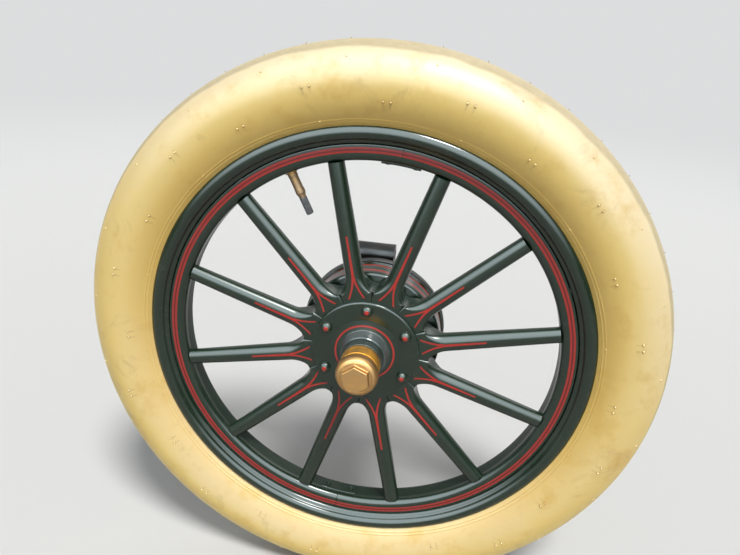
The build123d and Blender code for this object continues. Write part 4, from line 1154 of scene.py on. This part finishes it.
class WHEEL_OT_felloe(bpy.types.Operator):
    """Builds the felloe's two bent halves, with the plates and rivets over their joints"""

    bl_idname = "wheel.felloe"
    bl_label = "Felloe"

    def execute(self, context):
        wheel = context.scene.wheel_sizes
        paint = context.scene.wheel_paint
        # The felloe's inner face is painted shade, without the varnish's reflection.
        green = enamel("felloe_green", paint, felloe_lining, felloe_grain, 0.6, 0.18, felloe_painted_shade)
        inner = wheel.felloe_inner / MM
        front, back = wheel.felloe_front / MM, wheel.felloe_back / MM
        outer = wheel.rim_seat / MM - FELLOE_CLEARANCE
        corners = (
            (inner, back, FELLOE_BACK_FILLET), (inner, front, FELLOE_FRONT_FILLET),
            (outer, front, FELLOE_SEAT_FILLET), (outer, back, FELLOE_SEAT_FILLET),
        )
        section = rounded(corners, 8)
        gap = JOINT_HALF_GAP / wheel.felloe_inner
        halves = (("felloe_rear", wheel.joint_angle), ("felloe_front", wheel.joint_angle - math.pi))
        for name, start in halves:
            points = along_arc(section, start + gap, start + math.pi - gap, FELLOE_STEPS)
            seat(surface(name + "_bend", points, caps=True), "wheel", green, "green_wood", name)
        # The joint plates get the same painted shade on their inner faces.
        steel_green = enamel("plate_green", paint, dusty=0.3, bare=felloe_painted_shade)
        seat(self.plates(wheel), "wheel", steel_green, "green_enamel", "felloe_plates")
        return {"FINISHED"}

    def plates(self, wheel):
        """The joints' plates: a bar carried along an arc, with two rivets turned on its inner face."""
        top = wheel.felloe_inner - FELLOE_CLEARANCE * MM
        low, high = JOINT_PLATE_BACK, JOINT_PLATE_FRONT
        face = top / MM - JOINT_PLATE_THICKNESS
        corners = ((face, low, JOINT_PLATE_FILLET), (face, high, JOINT_PLATE_FILLET))
        bar = rounded((*corners, (top / MM, high, 0), (top / MM, low, 0)))
        rivet = rounded(RIVET_OUTLINE, 4)
        height = top - JOINT_PLATE_THICKNESS * MM - rivet[:, 1]
        reach = JOINT_PLATE_REACH / top
        from_joint = RIVET_REACH / top
        made = []
        for joint in (wheel.joint_angle, wheel.joint_angle + math.pi):
            made.append(surface("plate", along_arc(bar, joint - reach, joint + reach, 24), caps=True))
            for angle in (joint - from_joint, joint + from_joint):
                frame_here = radial_frame(angle, (low + high) / 2 * MM)
                made.append(surface("rivet", turned(rivet[:, 0], height, circle_angles(24), *frame_here)))
        return join("felloe_joint_plates", made)


# Columns: distance from the axle, width, depth, station of the middle and corner radius, in millimetres.
SPOKE_ROOT = (25.6, 12.6, 36.0, 9.0, 0.8)
SPOKE_NECK = (106.0, 24.0, 22.0, 16.0, 10.8)
SPOKE_TIP = (246.4, 20.5, 18.0, 14.9, 8.9)
MITRE_GAP = 0.04 * MM
# Out to the first distance a spoke's wedge has few rows, and from the second it has many. The throat's rows
# follow the cosines of angles: the first and the last in degrees, and how many. Then where the shaft's rows
# start beyond the neck, and how many there are.
WEDGE_PLAIN_TO = 66 * MM
WEDGE_FINE_FROM = 68 * MM
THROAT_ANGLES = (4.0, 90.0, 26)
SHAFT_START = 3 * MM
SHAFT_ROWS = 40


def spoke_rows(wheel):
    """Distance, width, depth, middle and corner of each row of points along a spoke, in metres.

    The root is a wedge that keeps to its mitres out to the crotch. From there a quarter ellipse leads into
    the neck, and the shaft tapers evenly from the neck to the tip.
    """
    root, neck, tip = (np.array(row) * MM for row in (SPOKE_ROOT, SPOKE_NECK, SPOKE_TIP))
    plain_at = np.linspace(root[0], WEDGE_PLAIN_TO, 4)
    fine_at = np.linspace(WEDGE_FINE_FROM, wheel.crotch, 9)
    throat_at = wheel.neck - (wheel.neck - wheel.crotch) * np.cos(np.radians(np.linspace(*THROAT_ANGLES)))
    shaft_at = np.linspace(wheel.neck + SHAFT_START, tip[0], SHAFT_ROWS)
    at = np.concatenate([plain_at, fine_at, throat_at, shaft_at])
    mitre_slope = 2 * math.tan(math.pi / wheel.spoke_count)
    mitre = at * mitre_slope - MITRE_GAP
    slender = neck[1] + (tip[1] - neck[1]) * (at - neck[0]) / (tip[0] - neck[0])
    flare = np.clip((wheel.neck - at) / (wheel.neck - wheel.crotch), 0.0, 1.0)
    crotch_width = wheel.crotch * mitre_slope - MITRE_GAP
    throat = slender + (crotch_width - slender) * (1.0 - np.sqrt(1.0 - flare**2))
    width = np.where(at <= wheel.crotch, mitre, throat)
    blend = smooth(np.clip((at - wheel.crotch) / (neck[0] - wheel.crotch), 0.0, 1.0))
    rise = smooth(np.clip((at - WEDGE_PLAIN_TO) / (neck[0] - WEDGE_PLAIN_TO), 0.0, 1.0))
    along = np.clip((at - neck[0]) / (tip[0] - neck[0]), 0.0, 1.0)

    def column(number, to_neck):
        """A column's value at each row: from root to neck by one share, and from neck to tip evenly."""
        inside = root[number] + (neck[number] - root[number]) * to_neck
        beyond = neck[number] + (tip[number] - neck[number]) * along
        return np.where(at < neck[0], inside, beyond)

    return at, width, column(2, blend), column(3, blend), column(4, rise)


def rounded_section(width, depth, corner, steps=12):
    """Points round a rounded rectangle for each row: four quarter circles about the corners' centres.

    The flats at the front and back have four points between their ends, and those at the sides have none.
    """
    angles = np.radians(np.linspace(0.0, 90.0, steps + 1))
    between = np.linspace(0, 1, 6)[1:-1]
    centre_x = (width / 2 - corner)[:, None]
    centre_y = (depth / 2 - corner)[:, None]
    parts = []
    for quarter, (sign_x, sign_y) in enumerate(((1, 1), (-1, 1), (-1, -1), (1, -1))):
        swing = angles + quarter * math.pi / 2
        x = sign_x * centre_x + corner[:, None] * np.cos(swing)
        y = sign_y * centre_y + corner[:, None] * np.sin(swing)
        parts.append(np.stack([x, y], axis=-1))
        if quarter % 2 == 0:
            line_x = sign_x * centre_x * (1 - 2 * between)
            line_y = np.broadcast_to(sign_y * depth[:, None] / 2, line_x.shape)
            parts.append(np.stack([line_x, line_y], axis=-1))
    return np.concatenate(parts, axis=1)


class WHEEL_OT_spokes(bpy.types.Operator):
    """Builds the twelve mitred, tapering spokes"""

    bl_idname = "wheel.spokes"
    bl_label = "Spokes"

    def execute(self, context):
        wheel = context.scene.wheel_sizes
        green = enamel("spoke_green", context.scene.wheel_paint, spoke_lining, spoke_grain, 0.6, 0.22)
        at, width, depth, middle, corner = spoke_rows(wheel)
        section = rounded_section(width, depth, corner)
        across = section[..., 0]
        station = section[..., 1] + middle[:, None]
        lines = np.stack([np.broadcast_to(at[:, None], across.shape), across], axis=-1)
        for number in range(wheel.spoke_count):
            radial, round_it = wheel_directions(wheel.first_spoke + number * 2 * math.pi / wheel.spoke_count)
            points = at[:, None, None] * radial + across[..., None] * round_it
            points = points + station[..., None] * OUTWARDS + HUB_POINT
            node = f"spoke_{number + 1:02d}"
            spoke = surface(node + "_shaped", points, caps=True, lines=lines, sharp=45)
            seat(spoke, "wheel", green, "green_wood", node)
        return {"FINISHED"}


# Outlines of the turned pieces. Columns: radius, station and fillet, in millimetres.
HUB_OUTLINE = (
    (13.7, -22, 0), (24, -22, 1), (24, -18, 1.5), (70, -18, 0.8), (70, -12, 0.3), (26.2, -12, 0),
    (26.2, 60, 0.8), (22.4, 60, 0), (22.4, 78, 0), (17, 78, 0), (17, 50, 0), (11.2, 50, 0),
)
PLATE_OUTLINE = (
    (26.4, 27, 0), (70.2, 27, 0.3), (70.2, 32, 2.6), (46, 32, 14), (31.8, 34.1, 1.6), (29.6, 47.6, 0.9),
    (28.5, 48.7, 0.4), (26.4, 48.7, 0.3),
)
DRUM_OUTLINE = (
    (26.4, -9, 0), (94, -9, 4), (94, -40.5, 1), (96.5, -40.5, 0.8), (96.5, -43, 0.8), (91, -43, 0.5),
    (91, -12, 2.5), (26.4, -12, 0),
)
BACKING_OUTLINE = (
    (32.7, -48.5, 0), (97, -48.5, 1.6), (97, -57, 0.8), (94.5, -57, 0.8), (94.5, -51, 1.6), (32.7, -51, 0),
)
CAP_OUTLINE = (
    (22.6, 60, 0), (25.2, 60, 0.9), (25.2, 79.3, 0.3), (24.4, 79.5, 0.2), (25.2, 80.9, 0.4), (26.5, 84, 3),
    (26.5, 92.4, 6), (24.2, 97.0, 4.5), (19.4, 98.6, 0.8),
)
BOLT_SHANK_OUTLINE = ((7.5, 32, 0), (4.76, 32, 0), (4.76, -26.9, 0), (4.2, -27.5, 0), (0, -27.5, 0))

# The first hub bolt's angle, and the half axes and the foot's station of a head's dome, in millimetres.
# Behind the next station a bolt has no dot, because its distance from its own line is set to a metre.
FIRST_BOLT = math.radians(30.0)
BOLT_DOME = (7.5, 5.6)
BOLT_DOME_FOOT = 32.8
BOLT_DOT_FROM = 30 * MM
NO_DOT = 1.0

# A hub nut: its size, the station of its rear face, its rows as shares of its thickness from the bore round
# its faces and back, the radius of a face as a share of the distance across flats, and the cone's slope.
NUT_ACROSS = 15.9 * MM
NUT_THICKNESS = 8.0 * MM
NUT_BORE = 4.8 * MM
NUT_STATION = -26 * MM
NUT_ROWS = np.array((0.0, 0.0, 0.08, 0.16, 0.84, 0.92, 1.0, 1.0, 0.5))
NUT_FACE = 0.475
NUT_CHAMFER = math.radians(60)


def bolt_centres(wheel):
    """The places of the hub bolts' lines, evenly round their circle."""
    radial, _ = wheel_directions(circle_angles(wheel.bolt_count) + FIRST_BOLT)
    return radial * wheel.bolt_circle


class WHEEL_OT_hub(bpy.types.Operator):
    """Builds the hub, its plate, the domed bolts and their nuts"""

    bl_idname = "wheel.hub"
    bl_label = "Hub"

    def execute(self, context):
        wheel = context.scene.wheel_sizes
        paint = context.scene.wheel_paint
        # The hub and its plate get the painted reflection on the collar and barrel and the painted highlight
        # on the edge.
        green = enamel("hub_green", paint, dusty=0.7, bare=hub_painted_sheen)
        hub = surface("hub_turned", about_axle(rounded(HUB_OUTLINE), HUB_STEPS), close_rows=True)
        seat(hub, "wheel", green, "green_enamel", "hub")
        plate_points = about_axle(rounded(PLATE_OUTLINE, 8), PLATE_STEPS)
        plate = surface("hub_plate_turned", plate_points, close_rows=True)
        plate_green = enamel("hub_plate_green", paint, plate_lining, dusty=0.2, bare=hub_painted_sheen)
        seat(plate, "wheel", plate_green, "green_enamel", "hub_plate")
        self.bolts(wheel, paint)
        self.nuts(wheel, paint, context.scene.wheel_metal)
        return {"FINISHED"}

    def bolts(self, wheel, paint):
        """Six bolts: each is turned about its own line, with a half ellipse for its head."""
        quarter = arc((0.0, 0.0), 1.0, 90.0, 0.0, 12)
        dome = quarter * np.array(BOLT_DOME) * MM + np.array((0.0, BOLT_DOME_FOOT)) * MM
        profile = np.concatenate([dome, rounded(BOLT_SHANK_OUTLINE, 1)])
        points = about_axle(profile, 32)[None] + bolt_centres(wheel)[:, None, None]
        away = np.broadcast_to(profile[:, 0][None, :, None], points.shape[:3])
        height = np.broadcast_to(profile[:, 1][None, :, None], points.shape[:3])
        away = np.where(height > BOLT_DOT_FROM, away, NO_DOT)
        bolts = surface("hub_bolts_domed", points, lines=np.stack([away, height], axis=-1))
        green = enamel("bolt_green", paint, bolt_dots, dusty=1.7, coat=0.3)
        seat(bolts, "wheel", green, "green_enamel", "hub_bolts")

    def nuts(self, wheel, paint, metal):
        """Six nuts behind the flange: a row's radius is the hexagon's, or the cone's where that is less."""
        black = iron_paint("nut_black", paint, metal, cast=False)
        angles = circle_angles(48)
        heights = NUT_ROWS * NUT_THICKNESS
        from_face = np.minimum(heights, NUT_THICKNESS - heights)
        cone = NUT_ACROSS * NUT_FACE + from_face * math.tan(NUT_CHAMFER)
        radius = np.minimum(hexagon(NUT_ACROSS, angles)[None], cone[:, None])
        radius[[0, -2, -1]] = NUT_BORE
        single = turned(radius, heights + NUT_STATION, angles, HUB_POINT, OUTWARDS, AHEAD)
        points = single[None] + bolt_centres(wheel)[:, None, None]
        nuts = surface("hub_nuts_chamfered", points, close_rows=True)
        seat(nuts, "wheel", black, "black_steel", "hub_nuts")


# The hub cap's hexagon: its distance across flats and its turn. Then its rows of station and inset, in
# millimetres.
CAP_HEX_ACROSS = 31.75 * MM
CAP_HEX_TURN = math.radians(37.0)
CAP_HEX_ROWS = (
    (98.0, -0.6), (98.6, -0.5), (99.2, 0.0), (103.2, 0.0), (103.7, 0.08), (104.1, 0.25), (104.35, 0.5),
    (104.47, 0.8), (104.5, 1.2),
)
# The cone that chamfers the hexagon: its radius at the top, as a share of the inscribed circle's, and slope.
CAP_CHAMFER_SHARE = 1.115
CAP_CHAMFER = math.radians(50)
# The flat top's station and the shares of the last row's radius, then the bore's end as rows of radius and
# station, in millimetres.
CAP_TOP = 104.5 * MM
CAP_TOP_SHARES = (0.97, 0.6, 0.3, 0.0)
CAP_BORE_END = ((0.0, 88.0), (22.6, 88.0))


class WHEEL_OT_hub_cap(bpy.types.Operator):
    """Builds the brass hub cap with its hexagon"""

    bl_idname = "wheel.hub_cap"
    bl_label = "Hub Cap"

    def execute(self, context):
        angles = circle_angles(192)
        outline = rounded(CAP_OUTLINE, 8)[:-2]
        hex_height, inset = np.array(CAP_HEX_ROWS).T * MM
        flats = hexagon(CAP_HEX_ACROSS, angles, CAP_HEX_TURN)
        cone = CAP_HEX_ACROSS / 2 * CAP_CHAMFER_SHARE + (CAP_TOP - hex_height) * math.tan(CAP_CHAMFER)
        hexagonal = np.minimum(flats[None] - inset[:, None], cone[:, None])
        top = np.array(CAP_TOP_SHARES)[:, None] * hexagonal[-1]
        bore = np.array(CAP_BORE_END) * MM
        body_rows, bore_rows = (
            np.broadcast_to(rows[:, :1], (len(rows), len(angles))) for rows in (outline, bore)
        )
        radius = np.concatenate([body_rows, hexagonal, top, bore_rows])
        height = np.concatenate([outline[:, 1], hex_height, np.full(len(top), CAP_TOP), bore[:, 1]])
        points = turned(radius, height, angles, HUB_POINT, OUTWARDS, AHEAD)
        cap = surface("hub_cap_brass", points, close_rows=True, sharp=24)
        metal = context.scene.wheel_metal
        seat(cap, "wheel", brass("cap_brass", metal.brass, metal, cap_tarnish_and_shade), "cap_brass", "hub_cap")
        return {"FINISHED"}


class WHEEL_OT_brake(bpy.types.Operator):
    """Builds the brake drum and its backing plate"""

    bl_idname = "wheel.brake"
    bl_label = "Brake"

    def execute(self, context):
        paint = context.scene.wheel_paint
        drum_points = about_axle(rounded(DRUM_OUTLINE, 6), PLATE_STEPS)
        drum = surface("brake_drum_pressed", drum_points, close_rows=True)
        seat(drum, "wheel", enamel("drum_green", paint, drum_lining, dusty=1.0), "green_enamel", "brake_drum")
        backing_points = about_axle(rounded(BACKING_OUTLINE), PLATE_STEPS)
        backing = surface("backing_plate_pressed", backing_points, close_rows=True)
        black = iron_paint("backing_black", paint, context.scene.wheel_metal, cast=False)
        seat(backing, "axle_end", black, "axle_black", "backing_plate")
        return {"FINISHED"}


# The valve's outlines. Columns: radius about the valve's line, distance from the axle and fillet, in mm.
STEM_OUTLINE = (
    (0, 209, 0), (4.6, 209, 0.3), (4.6, 212, 0), (6.2, 216.8, 0.6), (6.2, 222, 0.3), (5.8, 222.5, 0.2),
    (5.8, 238, 0.2), (6.2, 238.5, 0.3), (6.2, 269.8, 0.4), (0, 269.8, 0),
)
VALVE_NUT_OUTLINE = ((6.25, 243.4, 0), (8.0, 243.4, 0.6), (8.0, 246.0, 0.6), (6.25, 246.0, 0))
VALVE_CAP_OUTLINE = (
    (0, 187.5, 0), (3.9, 187.5, 0.9), (4.8, 189.2, 0.8), (4.8, 210.3, 0.5), (4.2, 211.5, 0.3), (0, 211.5, 0),
)
# The dust cap's flutes: their number, their depth as a share of the radius, and the radius beyond which
# they are cut.
FLUTES = 20
FLUTE_DEPTH = 0.055
FLUTED_BEYOND = 4.75 * MM


class WHEEL_OT_valve(bpy.types.Operator):
    """Builds the valve's stem, nut and dust cap"""

    bl_idname = "wheel.valve"
    bl_label = "Valve"

    def execute(self, context):
        metal = context.scene.wheel_metal
        line = radial_frame(context.scene.wheel_sizes.valve_angle, 0.0)
        worn = brass("valve_brass", metal.browned, metal, gloss=0.5)
        angles = circle_angles(48)
        stem = rounded(STEM_OUTLINE, 3)
        body = surface("valve_stem_brass", turned(stem[:, 0], stem[:, 1], angles, *line))
        seat(body, "wheel", worn, "valve_brass", "valve_stem")
        ring = rounded(VALVE_NUT_OUTLINE, 3)
        nut = surface("valve_nut_brass", turned(ring[:, 0], ring[:, 1], angles, *line), close_rows=True)
        seat(nut, "wheel", worn, "valve_brass", "valve_nut")
        angles = circle_angles(FLUTES * 6)
        outline = rounded(VALVE_CAP_OUTLINE, 3)
        radius = outline[:, :1]
        ridged = radius * (1.0 - FLUTE_DEPTH * (radius > FLUTED_BEYOND) * np.cos(angles * FLUTES) ** 2)
        cap = surface("valve_cap_ridged", turned(ridged, outline[:, 1], angles, *line), sharp=50)
        seat(cap, "wheel", black_cap(), "valve_black", "valve_cap")
        return {"FINISHED"}


class WHEEL_OT_axle_end(bpy.types.Operator):
    """Finishes the axle housing, shaft, perch, brake levers and grease cup"""

    bl_idname = "wheel.axle_end"
    bl_label = "Axle End"

    def execute(self, context):
        paint = context.scene.wheel_paint
        metal = context.scene.wheel_metal
        cast = iron_paint("housing_black", paint, metal)
        forged = iron_paint("forged_black", paint, metal, cast=False)
        bare = steel("bare_steel", metal)
        dress("axle_housing", cast, 1.0 * MM)
        dress("spring_perch", forged, 1.5 * MM)
        dress("brake_lever", forged, 1.2 * MM)
        dress("perch_nut", forged, 0.6 * MM)
        dress("backing_bolts", forged, 0.5 * MM)
        dress("axle_shaft", bare, 0.4 * MM)
        dress("bearing_sleeve", bare)
        dress("brake_camshaft", bare, 0.6 * MM)
        dress("brake_stud", bare, 0.5 * MM)
        dress("grease_cup", brass("grease_cup_brass", metal.brass, metal, gloss=0.42), 0.6 * MM)
        return {"FINISHED"}


# Where the sky's middle is, how far from it the sky is full and where it ends, and how it is narrowed from
# side to side. Then its radiance in reflections and in the light that falls, the dim room in front of the
# background with the depths between which it changes, and the light from all round.
SKY_MIDDLE = (-0.08, -0.76, 0.64)
SKY_FULL = math.cos(math.radians(20))
SKY_END = math.cos(math.radians(58))
SKY_NARROWING = (0.7, 1.0, 1.0)
SKY_COLOUR = (7.2, 8.2, 8.7)
SKY_LIGHT = (0.38, 0.405, 0.43)
ROOM_COLOUR = (0.13, 0.137, 0.14)
ROOM_DEPTH = (-0.25, 0.25)
AMBIENT_COLOUR = (0.95, 0.98, 1.0)
# Columns: name, direction towards the lamp, strength, angular size in degrees, colour.
LAMPS = (
    ("key", (0.26, -0.50, 1.0), 3.4, 14.0, (1.0, 0.985, 0.955)),
    ("back", (0.5, 1.0, 0.9), 0.5, 40.0, (1.0, 1.0, 1.0)),
)
LAMP_DISTANCE = 2.0
# The floor's rings and the range over which it fades, then how much darker its grain is, and how much darker
# the floor is in the light that it throws back.
FLOOR_RINGS = np.array((0.0, 0.3, 0.8, 1.6, 3.0, 5.0, 8.0))
FLOOR_FADE = (1.5, 4.5)
FLOOR_GRAIN = 0.93
FLOOR_BOUNCE = 0.68
FLOOR_ROUGHNESS = 0.85
SENSOR_WIDTH = 36.0
NEAREST_SEEN = 0.05
FARTHEST_SEEN = 100.0


class WHEEL_OT_stage(bpy.types.Operator):
    """Builds the floor, the light and the camera"""

    bl_idname = "wheel.stage"
    bl_label = "Stage"

    def execute(self, context):
        stage = context.scene.wheel_stage
        self.floor(stage)
        self.world(context.scene, stage)
        for row in LAMPS:
            self.lamp(*row)
        self.camera(context.scene, stage)
        context.scene.view_settings.view_transform = "Standard"
        return {"FINISHED"}

    def floor(self, stage):
        """A round floor: rings of points whose radius grows. Far out the camera sees the background's colour.

        There all other light passes through it.
        """
        angles = circle_angles(96)
        origin = (0.0, 0.0, FLOOR_HEIGHT)
        points = turned(FLOOR_RINGS, np.zeros(len(FLOOR_RINGS)), angles, origin, UP, AHEAD)
        floor = surface("floor", points)
        tree = Tree("pale_floor")
        x, y, _ = tree.split(tree.place())
        distance = (x * x + y * y) ** 0.5
        grain = tree.noise(60.0, 4.0, 0.6)
        pale = tree.mix(grain * 0.35, tuple(stage.floor), tuple(part * FLOOR_GRAIN for part in stage.floor))
        camera, mirrored = tree.shown()
        bounced = tuple(part * FLOOR_BOUNCE for part in stage.floor)
        pale = tree.mix((camera + mirrored).clamped(), bounced, pale)
        values = {"Base Color": pale, "Roughness": FLOOR_ROUGHNESS}
        shader = tree.add("ShaderNodeBsdfPrincipled", None, values)
        clear = tree.add("ShaderNodeBsdfTransparent")
        pale_air = tree.add("ShaderNodeEmission", None, {"Color": tuple(stage.background), "Strength": 1.0})
        beyond = tree.add("ShaderNodeMixShader", None, {0: camera, 1: clear, 2: pale_air})
        fade = tree.add("ShaderNodeMixShader", None, {0: distance.steps(*FLOOR_FADE), 1: shader, 2: beyond})
        tree.add("ShaderNodeOutputMaterial", None, {"Surface": fade})
        tree.owner.cycles.emission_sampling = "NONE"
        floor.data.materials.append(tree.owner)

    def world(self, scene, stage):
        """A pale background, a bright sky overhead for what is mirrored and a softer light for the rest.

        The sky is where a direction, narrowed from side to side, is near the sky's middle.
        """
        tree = Tree("studio", world=True)
        towards = tree.add("ShaderNodeTexCoord", output="Generated")
        narrowed = tree.vector_maths("MULTIPLY", towards, SKY_NARROWING)
        narrowed = tree.vector_maths("NORMALIZE", narrowed)
        middle = tuple(Vector(SKY_MIDDLE).normalized())
        sky = tree.vector_maths("DOT_PRODUCT", narrowed, middle, "Value").steps(SKY_END, SKY_FULL)
        _, depth, _ = tree.split(towards)
        background = tuple(stage.background)
        room = tree.mix(depth.steps(*ROOM_DEPTH), ROOM_COLOUR, background)
        mirror = tree.mix(sky, room, SKY_COLOUR)
        light = tree.mix(sky, tuple(part * stage.ambient for part in AMBIENT_COLOUR), SKY_LIGHT)
        camera, mirrored = tree.shown()
        seen = tree.mix(camera, tree.mix(mirrored, light, mirror), background)
        shader = tree.add("ShaderNodeBackground", None, {"Color": seen, "Strength": 1.0})
        tree.add("ShaderNodeOutputWorld", None, {"Surface": shader})
        scene.world = tree.owner

    def lamp(self, name, towards, strength, size, tint):
        """A far, soft lamp that shines from a direction."""
        light = bpy.data.lights.new(name, "SUN")
        light.energy = strength
        light.angle = math.radians(size)
        light.color = tint
        lamp = bpy.data.objects.new(name, light)
        lamp.location = Vector(towards) * LAMP_DISTANCE
        lamp.rotation_mode = "QUATERNION"
        lamp.rotation_quaternion = Vector(towards).to_track_quat("Z", "Y")
        bpy.context.scene.collection.objects.link(lamp)

    def camera(self, scene, stage):
        """The camera, turned from a level view along +Y by its turn, tilt and lean."""
        lens = bpy.data.cameras.new("camera")
        lens.sensor_width = SENSOR_WIDTH
        lens.lens = stage.focal_length
        lens.clip_start = NEAREST_SEEN
        lens.clip_end = FARTHEST_SEEN
        camera = bpy.data.objects.new("camera", lens)
        aim = Matrix.Rotation(stage.camera_turn, 3, "Z") @ Matrix.Rotation(stage.camera_tilt, 3, "X")
        aim = aim @ Matrix.Rotation(stage.camera_lean, 3, "Y") @ Matrix.Rotation(math.pi / 2, 3, "X")
        camera.rotation_mode = "QUATERNION"
        camera.rotation_quaternion = aim.to_quaternion()
        camera.location = stage.camera_place
        scene.collection.objects.link(camera)
        scene.camera = camera


class VIEW3D_PT_wheel(bpy.types.Panel):
    """Lists the steps that build the wheel"""

    bl_label = "Vintage Wheel"
    bl_idname = "VIEW3D_PT_wheel"
    bl_space_type = "VIEW_3D"
    bl_region_type = "UI"
    bl_category = "Wheel"

    def draw(self, context):
        for step in STEPS:
            self.layout.operator(step.bl_idname)
        for group in SETTINGS:
            box = self.layout.box()
            settings = getattr(context.scene, group)
            for name in settings.__annotations__:
                box.prop(settings, name)


SETTINGS = {
    "wheel_tyre": TyreSettings,
    "wheel_paint": PaintSettings,
    "wheel_metal": MetalSettings,
    "wheel_sizes": WheelSettings,
    "wheel_stage": StageSettings,
}
STEPS = (
    WHEEL_OT_tyre, WHEEL_OT_rim, WHEEL_OT_felloe, WHEEL_OT_spokes, WHEEL_OT_hub, WHEEL_OT_hub_cap,
    WHEEL_OT_brake, WHEEL_OT_valve, WHEEL_OT_axle_end, WHEEL_OT_stage,
)


def register():
    """Registers the settings, the steps and the panel."""
    for name, group in SETTINGS.items():
        bpy.utils.register_class(group)
        setattr(bpy.types.Scene, name, bpy.props.PointerProperty(type=group))
    for kind in (*STEPS, VIEW3D_PT_wheel):
        bpy.utils.register_class(kind)


def unregister():
    """Removes what register added, in the opposite order."""
    for kind in (VIEW3D_PT_wheel, *reversed(STEPS)):
        bpy.utils.unregister_class(kind)
    for name, group in reversed(SETTINGS.items()):
        delattr(bpy.types.Scene, name)
        bpy.utils.unregister_class(group)


def main():
    """Builds every piece in order."""
    register()
    for step in STEPS:
        group, name = step.bl_idname.split(".")
        getattr(getattr(bpy.ops, group), name)()


if __name__ == "__main__":
    main()
